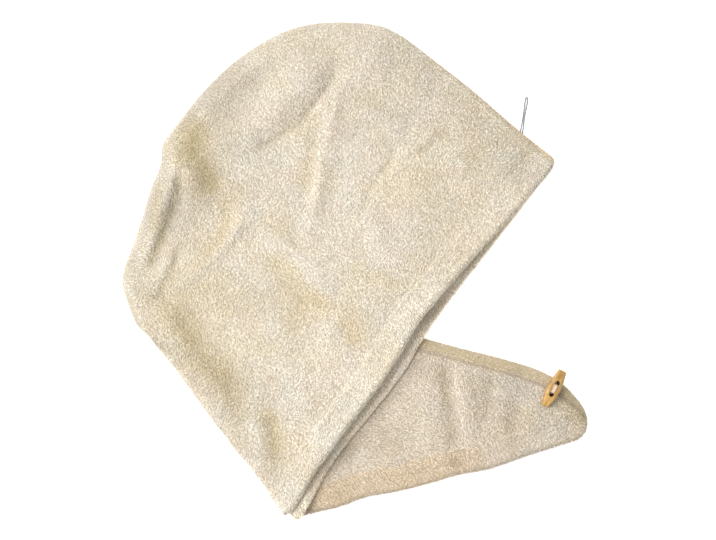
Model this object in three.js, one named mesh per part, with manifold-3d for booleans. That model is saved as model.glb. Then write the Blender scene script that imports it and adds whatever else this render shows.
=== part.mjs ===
// Hair turban towel lying flat: a hood of two terry panels whose tail is folded under it.
// Millimetres, +Z up. +X points out of the hood's opening, +Y runs along the opening's hem
// to the front corner, and z = 0 is the surface that the towel lies on.
import * as THREE from 'three';
import Module from 'manifold-3d';
import { mergeVertices } from 'three/addons/utils/BufferGeometryUtils.js';

const wasm = await Module();
wasm.setup();

// Cloth
const ply = 3;                  // terry, pile included
const hemPly = 4;               // turned hem
const hemWidth = 22;
const hemGroove = 0.9;          // depth of the stitch line along the hem
const grooveShare = 0.08;       // half its width, as a share of the hem's
const rimShare = 0.06;          // width of the hem's rounded rim, likewise
const rimRound = 0.3;           // share of the cloth's thickness that the rim rounds off
const gap = 0.3;                // between panels that touch
const slack = 0.6;              // least extra room between them away from the seams
const edgeRun = 9;              // width of the rounded roll along the seam

// Hood, measured along the opening's hem and square to it
const hoodHem = 384.5;          // front corner to the fold
const hoodDepth = 286.3;        // hem to the top of the crown
const hoodLoft = 8.5;           // air between the panels inside the hood
const loftRun = 45;             // how far from a seam the hood reaches that air
const cornerRound = 7;          // front corner of the hem
const frontBow = 3;             // how far the front seam bulges
const hemWander = 10;           // how far the two hems stray from one straight line

// Fold and tail
const foldRadius = 2.5;         // inside radius where the tail turns under
const foldRun = 32;             // how far from the fold the cloth settles
const drapeStart = 1;           // how far past the tail's edge the hood lies on it in full
const drapeRun = 24;            // how far from there the hood's underside comes down
const bridgeRun = 95;           // how far from there the hood's top side comes down
const tailLength = 269;
const tailWidth = 183;
const tailAngle = 37;           // degrees between the tail's hem and the hood's
const foldHeight = 5;           // deepest dent of the cloth
const foldFade = 0.25;          // share of a dent's length over which each end fades
const foldEnd = 0.35;           // share of its depth that is left at the ends

// Toggle and its thread
const toggleLength = 36;
const toggleWidth = 10.8;
const toggleThickness = 7;
const toggleEnd = 5.6;          // width of the flat ends
const toggleFace = 0.8;         // share of that width that is flat
const toggleShoulder = 0.97;    // share of the half length at which the ends start to round
const toggleHole = 4.2;
const toggleHoleSpacing = 10.8;
const toggleSpot = 0.793;       // share of the way from the fold to the tip
const toggleFromSeam = 8.3;     // centre, in from the tail's seam
const toggleAngle = 47.3;       // degrees between the toggle and the tail's hem
const threadThickness = 1.9;
const threadRoom = 0.45;        // room around the thread in the toggle's groove

// Elastic loop
const loopCord = 1.2;
const loopIn = 42;              // centre of the loop's foot, in from the hem
const loopAngle = 32.3;         // degrees that it leans away from the hem

// Facets
const hoodCells = 34;           // cells of each panel, front seam to fold
const bendCells = 6;
const tailCells = 18;
const middleCells = 12;         // cells across, hem band to seam roll
const frontShares = [0, 0.004, 0.012, 0.024];   // closer sections at the front seam
const rollShares = [0.5, 0.17, 0];              // rows of the seam roll, shares of its width
const hemLimit = 0.3;           // most of a short section that the hem band takes
const rollLimit = 0.2;          // most of it that the seam roll takes
const outlineSteps = 40;
const toggleSteps = 8;
const toggleSides = 16;
const holeSides = 12;
const threadSides = 8;
const loopSteps = 44;
const loopSides = 8;

// One row for each section of the hood, from the front seam round the crown to the fold.
// hem and seamAlong are shares of hoodHem, seamIn of hoodDepth, upperIn and lowerIn of hemWander.
const hoodSections = [
  { hem: 0.000, seamAlong: 0.000, seamIn: 0.600, upperIn: 0.00, lowerIn: 0.00 },
  { hem: 0.040, seamAlong: 0.006, seamIn: 0.681, upperIn: 0.00, lowerIn: 0.00 },
  { hem: 0.080, seamAlong: 0.036, seamIn: 0.758, upperIn: 0.10, lowerIn: 0.00 },
  { hem: 0.130, seamAlong: 0.083, seamIn: 0.842, upperIn: 0.20, lowerIn: 0.00 },
  { hem: 0.180, seamAlong: 0.145, seamIn: 0.910, upperIn: 0.30, lowerIn: 0.00 },
  { hem: 0.240, seamAlong: 0.223, seamIn: 0.957, upperIn: 0.50, lowerIn: 0.00 },
  { hem: 0.300, seamAlong: 0.306, seamIn: 0.987, upperIn: 0.75, lowerIn: 0.00 },
  { hem: 0.370, seamAlong: 0.389, seamIn: 0.999, upperIn: 0.90, lowerIn: 0.00 },
  { hem: 0.430, seamAlong: 0.466, seamIn: 1.000, upperIn: 1.00, lowerIn: 0.00 },
  { hem: 0.480, seamAlong: 0.526, seamIn: 0.997, upperIn: 1.10, lowerIn: -0.05 },
  { hem: 0.530, seamAlong: 0.567, seamIn: 0.964, upperIn: 0.90, lowerIn: -0.20 },
  { hem: 0.580, seamAlong: 0.622, seamIn: 0.943, upperIn: 0.65, lowerIn: -0.50 },
  { hem: 0.640, seamAlong: 0.687, seamIn: 0.910, upperIn: 0.46, lowerIn: -0.60 },
  { hem: 0.700, seamAlong: 0.751, seamIn: 0.880, upperIn: 0.43, lowerIn: -0.60 },
  { hem: 0.760, seamAlong: 0.803, seamIn: 0.856, upperIn: 0.40, lowerIn: -0.50 },
  { hem: 0.810, seamAlong: 0.834, seamIn: 0.831, upperIn: 0.37, lowerIn: -0.45 },
  { hem: 0.860, seamAlong: 0.861, seamIn: 0.782, upperIn: 0.30, lowerIn: -0.50 },
  { hem: 0.910, seamAlong: 0.882, seamIn: 0.736, upperIn: 0.24, lowerIn: -0.70 },
  { hem: 0.955, seamAlong: 0.892, seamIn: 0.704, upperIn: 0.00, lowerIn: -1.00 },
  { hem: 1.000, seamAlong: 0.877, seamIn: 0.672, upperIn: -0.30, lowerIn: -1.25 },
];

// One row for each section of the tail, from the fold to the tip. hem and seamAlong are shares of
// tailLength, hemIn and seamIn of tailWidth. The first section is the hood's last, turned under.
const tailSections = [
  { hem: 0.060, hemIn: 0.000, seamAlong: -0.200, seamIn: 1.000 },
  { hem: 0.130, hemIn: -0.004, seamAlong: -0.060, seamIn: 0.996 },
  { hem: 0.220, hemIn: 0.007, seamAlong: 0.106, seamIn: 0.956 },
  { hem: 0.320, hemIn: -0.006, seamAlong: 0.264, seamIn: 0.875 },
  { hem: 0.430, hemIn: -0.010, seamAlong: 0.414, seamIn: 0.771 },
  { hem: 0.540, hemIn: -0.008, seamAlong: 0.542, seamIn: 0.668 },
  { hem: 0.640, hemIn: -0.020, seamAlong: 0.659, seamIn: 0.569 },
  { hem: 0.740, hemIn: -0.010, seamAlong: 0.780, seamIn: 0.468 },
  { hem: 0.830, hemIn: -0.004, seamAlong: 0.888, seamIn: 0.364 },
  { hem: 0.900, hemIn: 0.000, seamAlong: 0.944, seamIn: 0.278 },
  { hem: 0.950, hemIn: 0.008, seamAlong: 0.976, seamIn: 0.200 },
  { hem: 0.985, hemIn: 0.044, seamAlong: 0.998, seamIn: 0.120 },
];

// Ridges (rise above 0) and dents of the hood's upper panel. Along is a share of hoodHem, in and
// width are shares of hoodDepth, rise of foldHeight.
const hoodFolds = [
  { along: 0.109, in: 0.720, toAlong: 0.289, toIn: 0.707, width: 0.036, rise: -0.75 },
  { along: 0.289, in: 0.707, toAlong: 0.410, toIn: 0.777, width: 0.036, rise: -0.65 },
  { along: 0.213, in: 0.790, toAlong: 0.430, toIn: 0.842, width: 0.070, rise: 0.85 },
  { along: 0.240, in: 0.631, toAlong: 0.472, toIn: 0.471, width: 0.028, rise: 0.50 },
  { along: 0.012, in: 0.450, toAlong: 0.286, toIn: 0.399, width: 0.040, rise: -0.35 },
  { along: 0.451, in: 0.930, toAlong: 0.535, toIn: 0.772, width: 0.055, rise: -0.90 },
  { along: 0.560, in: 0.886, toAlong: 0.674, toIn: 0.822, width: 0.026, rise: -0.95 },
  { along: 0.674, in: 0.822, toAlong: 0.753, toIn: 0.799, width: 0.026, rise: -0.90 },
  { along: 0.710, in: 0.745, toAlong: 0.815, toIn: 0.726, width: 0.026, rise: -0.75 },
  { along: 0.532, in: 0.650, toAlong: 0.757, toIn: 0.689, width: 0.030, rise: 0.60 },
  { along: 0.154, in: 0.849, toAlong: 0.432, toIn: 0.925, width: 0.045, rise: -0.50 },
  { along: 0.784, in: 0.661, toAlong: 0.874, toIn: 0.313, width: 0.050, rise: -0.80 },
  { along: 0.858, in: 0.225, toAlong: 0.940, toIn: 0.130, width: 0.035, rise: -0.60 },
  { along: 0.547, in: 0.576, toAlong: 0.556, toIn: 0.313, width: 0.045, rise: 0.35 },
];

// The same across the tail. Along and width are shares of tailLength, in of tailWidth.
const tailFolds = [
  { along: 0.612, in: 0.560, toAlong: 0.558, toIn: 0.000, width: 0.030, rise: -0.42 },
  { along: 0.644, in: 0.540, toAlong: 0.594, toIn: 0.010, width: 0.026, rise: 0.34 },
  { along: 0.718, in: 0.430, toAlong: 0.640, toIn: 0.210, width: 0.034, rise: -0.40 },
  { along: 0.826, in: 0.360, toAlong: 0.715, toIn: 0.065, width: 0.030, rise: -0.30 },
];

// The loop's strands: out from the seam, half the distance between the strands, height.
const loopRoute = [
  { out: 0.0, side: 1.15, height: 3.15 },
  { out: 3.0, side: 1.05, height: 3.10 },
  { out: 7.0, side: 0.90, height: 2.40 },
  { out: 11.0, side: 0.85, height: 1.3 },
  { out: 15.0, side: 0.90, height: 0.8 },
  { out: 19.0, side: 1.15, height: 0.7 },
  { out: 23.0, side: 1.40, height: 0.7 },
  { out: 26.5, side: 1.45, height: 0.7 },
  { out: 29.2, side: 1.20, height: 0.7 },
];
const loopTip = 30.7;

const upper = 'panel_upper';
const lower = 'panel_lower';

function mix(a, b, share) {
  return a + (b - a) * share;
}

function smooth(value) {
  const t = Math.min(1, Math.max(0, value));
  return t * t * (3 - 2 * t);
}

// Plan points are (along, in): along the hood's hem from the front corner, and in from that hem.
function plan(along, inward) {
  return new THREE.Vector2(along, inward);
}

const tailTurn = THREE.MathUtils.degToRad(tailAngle);
const tailAxis = plan(-Math.cos(tailTurn), -Math.sin(tailTurn));
const tailSide = plan(-Math.sin(tailTurn), Math.cos(tailTurn));
const lastHood = hoodSections[hoodSections.length - 1];
const foldSeam = plan(lastHood.seamAlong * hoodHem, lastHood.seamIn * hoodDepth);
const foldLine = foldSeam.clone().sub(plan(hoodHem, 0)).normalize();
const foldOut = plan(foldLine.y, -foldLine.x);
const tailCorner = foldHem(lower);

// The point of the fold's axis that lies this far in from the hood's hem line.
function foldAt(inward) {
  return plan(hoodHem, 0).addScaledVector(foldLine, inward / foldLine.y);
}

function tailPoint(along, inward) {
  return tailCorner.clone().addScaledVector(tailAxis, along).addScaledVector(tailSide, inward);
}

function tableCurve(rows, point) {
  return new THREE.CatmullRomCurve3(rows.map(point), false, 'centripetal');
}

const hoodSeamCurve = tableCurve(hoodSections, (row) =>
  new THREE.Vector3(row.seamAlong * hoodHem, row.seamIn * hoodDepth, row.hem * hoodHem));
const hoodHemCurve = tableCurve(hoodSections, (row) =>
  new THREE.Vector3(row.hem * hoodHem, row.upperIn * hemWander, row.lowerIn * hemWander));
const tailRows = tailSections.map((row) => ({
  hem: tailPoint(row.hem * tailLength, row.hemIn * tailWidth),
  seam: tailPoint(row.seamAlong * tailLength, row.seamIn * tailWidth),
}));

function hoodSection(share, panel) {
  const seam = hoodSeamCurve.getPoint(share);
  const hem = hoodHemCurve.getPoint(share);
  const round = Math.max(0, 1 - hem.x / cornerRound);
  const corner = cornerRound * (1 - Math.sqrt(1 - round * round));
  return {
    hem: plan(hem.x, (panel === upper ? hem.y : hem.z) + corner),
    seam: plan(seam.x, seam.y),
    behind: panel === upper ? 0 : hem.y - hem.z,
    fromFront: hem.x,
    turn: 0,
    stage: 'hood',
  };
}

function tailCurves(panel) {
  const start = { hem: foldHem(panel), seam: foldSeam };
  const rows = [start, ...tailRows];
  const flat = (point) => new THREE.Vector3(point.x, point.y, 0);
  return {
    hem: tableCurve(rows, (row) => flat(row.hem)),
    seam: tableCurve(rows, (row) => flat(row.seam)),
  };
}

function foldHem(panel) {
  return foldAt((panel === upper ? lastHood.upperIn : lastHood.lowerIn) * hemWander);
}

// All sections of a panel in order: hood, the turn round the fold, tail. behind is how far the
// section starts outside the upper panel's hem.
function sectionsOf(panel) {
  const sections = [];
  const foldStep = foldHem(upper).distanceTo(foldHem(lower));
  for (const share of frontShares) {
    sections.push(hoodSection(share, panel));
  }
  const start = frontShares[frontShares.length - 1];
  const left = hoodCells - frontShares.length + 1;
  for (let i = 1; i <= left; i += 1) {
    sections.push(hoodSection(mix(start, 1, i / left), panel));
  }
  for (let i = 1; i < bendCells; i += 1) {
    const turn = (Math.PI * i) / bendCells;
    const behind = panel === upper ? 0 : foldStep;
    sections.push({ hem: foldHem(panel), seam: foldSeam.clone(), behind, turn, stage: 'bend' });
  }
  const curves = tailCurves(panel);
  const upperHem = tailCurves(upper).hem;
  for (let i = 0; i <= tailCells; i += 1) {
    const hem = curves.hem.getPoint(i / tailCells);
    const seam = curves.seam.getPoint(i / tailCells);
    sections.push({
      hem: plan(hem.x, hem.y),
      seam: plan(seam.x, seam.y),
      behind: hem.distanceTo(upperHem.getPoint(i / tailCells)),
      turn: Math.PI,
      stage: 'tail',
    });
  }
  const last = sections[sections.length - 1];
  for (const section of sections) {
    if (section.stage === 'tail') {
      section.fromTip = distanceToLine(section.hem.clone().lerp(section.seam, 0.5), last);
    }
  }
  return sections;
}

function distanceToLine(point, section) {
  const direction = section.seam.clone().sub(section.hem).normalize();
  const offset = point.clone().sub(section.hem);
  return Math.abs(offset.x * direction.y - offset.y * direction.x);
}

function distanceToSegment(point, from, to) {
  const span = to.clone().sub(from);
  const offset = point.clone().sub(from);
  const share = Math.min(1, Math.max(0, offset.dot(span) / span.lengthSq()));
  return { distance: offset.distanceTo(span.multiplyScalar(share)), share };
}

// Outline of the tail's footprint, and the signed distance of a plan point outside it.
const tailOutline = (() => {
  const curves = tailCurves(lower);
  const seam = curves.seam.getPoints(outlineSteps);
  const hem = curves.hem.getPoints(outlineSteps).reverse();
  return [...seam, ...hem].map((point) => plan(point.x, point.y));
})();

function outsideTail(point) {
  let nearest = Infinity;
  let inside = false;
  for (let i = 0; i < tailOutline.length; i += 1) {
    const a = tailOutline[i];
    const b = tailOutline[(i + 1) % tailOutline.length];
    if (a.distanceTo(b) > 0) {
      nearest = Math.min(nearest, distanceToSegment(point, a, b).distance);
    }
    if (a.y > point.y !== b.y > point.y) {
      const crossing = a.x + ((point.y - a.y) / (b.y - a.y)) * (b.x - a.x);
      inside = point.x < crossing ? !inside : inside;
    }
  }
  return inside ? -nearest : nearest;
}

function foldsAt(point, folds) {
  let height = 0;
  for (const fold of folds) {
    const near = distanceToSegment(point, fold.from, fold.to);
    const fade = smooth(near.share / foldFade) * smooth((1 - near.share) / foldFade);
    const profile = Math.exp(-((near.distance / fold.width) ** 2));
    height += fold.rise * profile * mix(foldEnd, 1, fade);
  }
  return height;
}

const hoodRelief = hoodFolds.map((fold) => ({
  from: plan(fold.along * hoodHem, fold.in * hoodDepth),
  to: plan(fold.toAlong * hoodHem, fold.toIn * hoodDepth),
  width: fold.width * hoodDepth,
  rise: fold.rise * foldHeight,
}));
const tailRelief = tailFolds.map((fold) => ({
  from: tailPoint(fold.along * tailLength, fold.in * tailWidth),
  to: tailPoint(fold.toAlong * tailLength, fold.toIn * tailWidth),
  width: fold.width * tailLength,
  rise: fold.rise * foldHeight,
}));

// Distances from the hem at which a section has its rows, with the hem and seam roll kept narrow
// where the tail is.
function rowsAcross(length) {
  const band = Math.min(hemWidth, length * hemLimit);
  const roll = Math.min(edgeRun, length * rollLimit);
  const hemRows = [0, rimShare, 0.5, 1 - grooveShare, 1].map((share) => share * band);
  const start = (1 + grooveShare) * band;
  const rows = [...hemRows, start];
  for (let i = 1; i <= middleCells; i += 1) {
    rows.push(mix(start, length - roll, i / middleCells));
  }
  rows.push(...rollShares.map((share) => length - share * roll));
  return { rows, band, roll };
}

// How much of the hem's extra thickness a point this far from the hem has.
function hemShare(distance, band) {
  return smooth((1 + grooveShare - distance / band) / (2 * grooveShare));
}

// The stack of cloth at one point: its height, and where its lowest face lies.
function stackAt(section, point, distance, length, band) {
  const cloth = mix(ply, hemPly, hemShare(distance, band));
  const hem = hemShare(distance - section.behind, band);
  const fromSeam = Math.min(
    length - distance, section.fromFront ?? Infinity, section.fromTip ?? Infinity);
  const puff = 2 * (hemPly - ply);
  const fromFold = Math.max(0, -foldOut.dot(point.clone().sub(foldSeam)));
  const settle = smooth(fromFold / foldRun);
  const closed = 2 * mix(ply, hemPly, hem) + gap + slack * smooth(fromSeam / edgeRun);
  const edgeAir = puff * (1 - smooth(fromSeam / loftRun)) * (1 - hem);
  if (section.stage === 'hood') {
    const air = hoodLoft * smooth(fromSeam / loftRun) * smooth(fromFold / loftRun);
    const relief = foldsAt(point, hoodRelief) * smooth(fromSeam / edgeRun) * settle;
    const outside = outsideTail(point) - drapeStart;
    const tailStack = 2 * hemPly + slack + 2 * gap;
    const lift = tailStack * (1 - smooth(outside / drapeRun));
    const bridge = (tailStack * (1 - smooth(outside / bridgeRun)) - lift) *
      smooth(fromSeam / loftRun);
    const height = Math.max(closed, closed + edgeAir + air + bridge + relief);
    const turned = closed + edgeAir + 2 * foldRadius;
    return { cloth, height, base: mix(turned, lift, settle) };
  }
  if (section.stage === 'bend') {
    return { cloth, height: closed + edgeAir, base: 0 };
  }
  const relief = foldsAt(point, tailRelief) * smooth(fromSeam / edgeRun) * settle;
  const air = puff * (1 - hem) * smooth(fromSeam / loftRun) * settle;
  return { cloth, height: Math.max(closed, closed + edgeAir + air + relief), base: 0 };
}

// Height of a panel's face inside the stack, from the lower panel's outer face (0) up to the
// upper panel's (the stack's height). Towards a seam both outer faces roll to the stack's middle.
function faceHeight(panel, outer, stack, fromEdge, distance, band) {
  const middle = stack.height / 2;
  const inset = outer ? 0 : stack.cloth;
  const run = edgeRun - inset;
  const out = Math.min(1, Math.max(0, (fromEdge - inset) / run));
  const roll = Math.sqrt(1 - (1 - out) * (1 - out));
  const flat = outer ? 0 : stack.cloth;
  const seam = middle - gap / 2;
  const rim = rimRound * stack.cloth * Math.max(0, 1 - distance / (rimShare * band));
  const groove = hemGroove * Math.max(0, 1 - Math.abs(distance / band - 1) / grooveShare);
  const height = mix(seam, flat, roll) + roll * (outer ? rim + groove : -rim);
  return panel === upper ? stack.height - height : height;
}

function place(section, point, stack, height) {
  if (section.stage === 'hood') {
    return new THREE.Vector3(-point.y, -point.x, stack.base + height);
  }
  if (section.stage === 'tail') {
    return new THREE.Vector3(-point.y, -point.x, stack.height - height);
  }
  const axis = stack.height + foldRadius;
  const radius = foldRadius + height;
  const out = point.clone().addScaledVector(foldOut, radius * Math.sin(section.turn));
  return new THREE.Vector3(-out.y, -out.x, axis + radius * Math.cos(section.turn));
}

// How far the front seam stands out at this distance from the hem.
function frontBowAt(distance) {
  return frontBow * smooth(distance / hemWidth - 1);
}

// One face of a panel as a grid of points, a row for each section.
function panelFace(panel, outer) {
  return sectionsOf(panel).map((section) => {
    const across = section.seam.clone().sub(section.hem);
    const length = across.length();
    across.normalize();
    const { rows, band, roll } = rowsAcross(length);
    const fromSide = section.fromFront ?? section.fromTip ?? Infinity;
    const sideways = section.stage === 'hood' ? plan(1, 0) : tailAxis.clone().negate();
    return rows.map((distance) => {
      const point = section.hem.clone().addScaledVector(across, distance);
      const stack = stackAt(section, point, distance, length, band);
      const fromSeam = ((length - distance) * edgeRun) / roll;
      if (!outer) {
        const seamInset = (stack.cloth * roll * Math.max(0, 1 - fromSeam / edgeRun)) / edgeRun;
        const sideInset = stack.cloth * Math.max(0, 1 - fromSide / edgeRun);
        point.addScaledVector(across, -seamInset);
        point.addScaledVector(sideways, sideInset);
      }
      if (section.stage === 'hood') {
        point.x -= frontBowAt(distance) * (1 - smooth(fromSide / loftRun));
      }
      const nearest = Math.min(fromSeam, fromSide);
      const inner = mix(stack.cloth, edgeRun, Math.min(1, nearest / edgeRun));
      const fromEdge = outer ? nearest : inner;
      const height = faceHeight(panel, outer, stack, fromEdge, distance, band);
      return place(section, point, stack, height);
    });
  });
}

// A closed wall between two grids of the same size.
function wallGeometry(outerFace, innerFace) {
  const across = outerFace[0].length;
  const along = outerFace.length;
  const vertices = [...outerFace.flat(), ...innerFace.flat()];
  const half = along * across;
  const index = [];
  const quad = (a, b, c, d) => index.push(a, b, c, a, c, d);
  for (let i = 0; i + 1 < along; i += 1) {
    for (let j = 0; j + 1 < across; j += 1) {
      const a = i * across + j;
      quad(a, a + across, a + across + 1, a + 1);
      quad(half + a, half + a + 1, half + a + across + 1, half + a + across);
    }
  }
  for (let i = 0; i + 1 < along; i += 1) {
    const first = i * across;
    const last = first + across - 1;
    quad(first, first + half, first + half + across, first + across);
    quad(last, last + across, last + across + half, last + half);
  }
  for (let j = 0; j + 1 < across; j += 1) {
    const end = (along - 1) * across + j;
    quad(j, j + 1, j + 1 + half, j + half);
    quad(end, end + half, end + 1 + half, end + 1);
  }
  return facingOut(indexed(vertices, index));
}

function indexed(vertices, index) {
  const geometry = new THREE.BufferGeometry();
  geometry.setAttribute('position', new THREE.Float32BufferAttribute(
    vertices.flatMap((vertex) => vertex.toArray()), 3));
  geometry.setIndex(index);
  return geometry;
}

function facingOut(geometry) {
  const position = geometry.attributes.position;
  const corner = (i) => new THREE.Vector3().fromBufferAttribute(position, geometry.index.getX(i));
  let volume = 0;
  for (let i = 0; i < geometry.index.count; i += 3) {
    volume += corner(i).dot(corner(i + 1).cross(corner(i + 2)));
  }
  const index = geometry.index.array;
  if (volume < 0) {
    for (let i = 0; i < index.length; i += 3) {
      [index[i], index[i + 1]] = [index[i + 1], index[i]];
    }
  }
  geometry.computeVertexNormals();
  return geometry;
}

function toSolid(geometry) {
  const bare = geometry.clone();
  bare.deleteAttribute('normal');
  bare.deleteAttribute('uv');
  const merged = mergeVertices(bare, 1e-4);
  return new wasm.Manifold(new wasm.Mesh({
    numProp: 3,
    vertProperties: Float32Array.from(merged.attributes.position.array),
    triVerts: Uint32Array.from(merged.index.array),
  }));
}

function fromSolid(solid) {
  const mesh = solid.getMesh();
  const geometry = new THREE.BufferGeometry();
  geometry.setAttribute('position', new THREE.Float32BufferAttribute(mesh.vertProperties, 3));
  geometry.setIndex(Array.from(mesh.triVerts));
  geometry.computeVertexNormals();
  return geometry;
}

function cylinder(radius, length, sides) {
  return new THREE.CylinderGeometry(radius, radius, length, sides);
}

// A turned bar along X, flattened, with two holes down through it and a groove between them.
function toggleGeometry() {
  const half = toggleLength / 2;
  const endRadius = toggleEnd / 2;
  const face = toggleFace * endRadius;
  const profile = [new THREE.Vector2(0, -half), new THREE.Vector2(face, -half)];
  for (let i = 0; i <= toggleSteps; i += 1) {
    const along = mix(-toggleShoulder, toggleShoulder, i / toggleSteps);
    const belly = Math.cos((along * Math.PI) / 2);
    profile.push(new THREE.Vector2(mix(endRadius, toggleWidth / 2, belly), along * half));
  }
  profile.push(new THREE.Vector2(face, half), new THREE.Vector2(0, half));
  const bar = new THREE.LatheGeometry(profile, toggleSides);
  bar.rotateZ(-Math.PI / 2);
  bar.scale(1, 1, toggleThickness / toggleWidth);
  let solid = toSolid(bar);
  for (const side of [-1, 1]) {
    const hole = cylinder(toggleHole / 2, 2 * toggleThickness, holeSides);
    hole.rotateX(Math.PI / 2);
    hole.translate((side * toggleHoleSpacing) / 2, 0, 0);
    solid = solid.subtract(toSolid(hole));
  }
  const groove = cylinder(threadThickness / 2 + threadRoom, toggleHoleSpacing, threadSides);
  groove.rotateZ(Math.PI / 2);
  groove.translate(0, 0, toggleThickness / 2);
  return fromSolid(solid.subtract(toSolid(groove)));
}

// Thread: a leg down each hole to the cloth, and a bar that lies in the toggle's groove.
function threadGeometry() {
  const radius = threadThickness / 2;
  const barHeight = toggleThickness / 2;
  const bar = cylinder(radius, toggleHoleSpacing, threadSides);
  bar.rotateZ(Math.PI / 2);
  bar.translate(0, 0, barHeight);
  let solid = toSolid(bar);
  for (const side of [-1, 1]) {
    const leg = cylinder(radius, toggleThickness, threadSides);
    leg.rotateX(Math.PI / 2);
    leg.translate((side * toggleHoleSpacing) / 2, 0, 0);
    solid = solid.add(toSolid(leg));
  }
  return fromSolid(solid);
}

function loopGeometry(foot, out) {
  const side = new THREE.Vector3(1, 0, 0);
  const at = (row, sign) => foot.clone()
    .addScaledVector(out, row.out)
    .addScaledVector(side, sign * row.side)
    .setZ(row.height);
  const tip = foot.clone().addScaledVector(out, loopTip);
  tip.setZ(loopRoute[loopRoute.length - 1].height);
  const there = loopRoute.map((row) => at(row, 1));
  const back = loopRoute.map((row) => at(row, -1)).reverse();
  const path = new THREE.CatmullRomCurve3([...there, tip, ...back], false, 'centripetal');
  const corners = [];
  for (let i = 0; i < loopSides; i += 1) {
    const angle = (2 * Math.PI * i) / loopSides;
    corners.push(new THREE.Vector2(Math.cos(angle), Math.sin(angle)).multiplyScalar(loopCord / 2));
  }
  return new THREE.ExtrudeGeometry(new THREE.Shape(corners), {
    extrudePath: path,
    steps: loopSteps,
    curveSegments: 1,
  });
}

const outerGrids = new Map();

function panelGeometry(panel) {
  const outerFace = panelFace(panel, true);
  outerGrids.set(panel, outerFace);
  return wallGeometry(outerFace, panelFace(panel, false));
}

function cloth(colour) {
  return new THREE.MeshStandardMaterial({ color: colour, roughness: 1, metalness: 0 });
}

const towel = new THREE.Group();

function add(name, geometry, material) {
  const mesh = new THREE.Mesh(geometry, material);
  mesh.name = name;
  towel.add(mesh);
  return mesh;
}

const upperMesh = add(upper, panelGeometry(upper), cloth('#e5dbc6'));
const lowerMesh = add(lower, panelGeometry(lower), cloth('#d8cab2'));

// The toggle lies by the tail's seam, on the highest cloth near it.
const toggleCurves = tailCurves(lower);
const seamSpot = toggleCurves.seam.getPoint(toggleSpot);
const towardsHem = toggleCurves.hem.getPoint(toggleSpot).sub(seamSpot).normalize();
const toggleCentre = seamSpot.addScaledVector(towardsHem, toggleFromSeam);
const togglePlace = new THREE.Vector3(-toggleCentre.y, -toggleCentre.x, 0);
const clothNear = outerGrids.get(lower).slice(hoodCells + bendCells).flat().filter((vertex) =>
  Math.hypot(vertex.x - togglePlace.x, vertex.y - togglePlace.y) < toggleLength / 2);
const highest = Math.max(...clothNear.map((vertex) => vertex.z));
togglePlace.z = highest + gap + toggleThickness / 2;
const toggleTurn = Math.atan2(-tailAxis.x, -tailAxis.y) + THREE.MathUtils.degToRad(toggleAngle);
const fittings = [
  add('toggle_button', toggleGeometry(), new THREE.MeshStandardMaterial({
    color: '#b98a52', roughness: 0.45, metalness: 0,
  })),
  add('toggle_thread', threadGeometry(), cloth('#e6d9d2')),
];
for (const mesh of fittings) {
  mesh.position.copy(togglePlace);
  mesh.rotation.z = toggleTurn;
}

// The front seam, between its facets' corners, at this distance from the hem line.
function frontSeamAt(inward) {
  const corners = outerGrids.get(upper)[0];
  const next = corners.findIndex((corner) => -corner.x > inward);
  const from = corners[next - 1];
  const to = corners[next];
  return mix(from.y, to.y, (inward + from.x) / (from.x - to.x));
}

const loopTurn = THREE.MathUtils.degToRad(loopAngle);
const seamAtFoot = frontSeamAt(loopIn + loopRoute[0].side);
const loopFoot = seamAtFoot + (loopCord / 2) * Math.sin(loopTurn) + gap;
const loopMesh = add('elastic_loop', loopGeometry(
  new THREE.Vector3(-loopIn, loopFoot, 0),
  new THREE.Vector3(-Math.sin(loopTurn), Math.cos(loopTurn), 0),
), cloth('#dcdad6'));

// The origin is under the middle of the towel without its loop.
const box = new THREE.Box3();
for (const mesh of [upperMesh, lowerMesh]) {
  mesh.geometry.computeBoundingBox();
  box.union(mesh.geometry.boundingBox);
}
const middle = box.getCenter(new THREE.Vector3()).setZ(0);
for (const mesh of [upperMesh, lowerMesh, loopMesh, ...fittings]) mesh.position.sub(middle);

export default towel;
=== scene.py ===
# Hair turban towel lying flat: two terry panels with brushed pile, a wooden toggle on its thread
# and an elastic loop. Metres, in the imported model's frame.
import math

import bmesh
import bpy
import numpy as np
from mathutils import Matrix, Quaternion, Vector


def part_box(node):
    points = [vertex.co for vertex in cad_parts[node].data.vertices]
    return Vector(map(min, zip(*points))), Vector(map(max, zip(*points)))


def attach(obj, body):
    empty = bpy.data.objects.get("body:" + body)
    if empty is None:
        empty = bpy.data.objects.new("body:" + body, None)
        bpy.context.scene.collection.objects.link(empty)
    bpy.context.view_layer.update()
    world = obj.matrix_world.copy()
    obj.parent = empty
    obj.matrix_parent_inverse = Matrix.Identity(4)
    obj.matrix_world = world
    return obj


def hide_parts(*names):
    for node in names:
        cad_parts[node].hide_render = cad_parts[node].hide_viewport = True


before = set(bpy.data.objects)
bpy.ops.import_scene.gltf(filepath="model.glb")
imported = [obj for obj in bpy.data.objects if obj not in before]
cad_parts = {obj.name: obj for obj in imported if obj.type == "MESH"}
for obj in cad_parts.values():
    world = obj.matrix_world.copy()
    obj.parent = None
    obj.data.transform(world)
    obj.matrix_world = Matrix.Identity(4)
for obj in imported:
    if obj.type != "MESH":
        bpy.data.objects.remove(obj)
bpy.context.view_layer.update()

# Camera straight above the towel, turned so that the hem leans as in the photo
cameraSetup = {
    "aim": (-0.0205, 0.0111, 0.012),
    "above": 1.758,
    "lens": 100.0,      # mm, on a sensor 36 mm wide
    "turn": 37.68,      # degrees
}


def makeCamera(setup):
    x, y, z = setup["aim"]
    bpy.ops.object.camera_add(
        location=(x, y, z + setup["above"]), rotation=(0, 0, math.radians(setup["turn"])))
    camera = bpy.context.object
    camera.data.lens = setup["lens"]
    bpy.context.scene.camera = camera


makeCamera(cameraSetup)
print("camera made")


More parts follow.
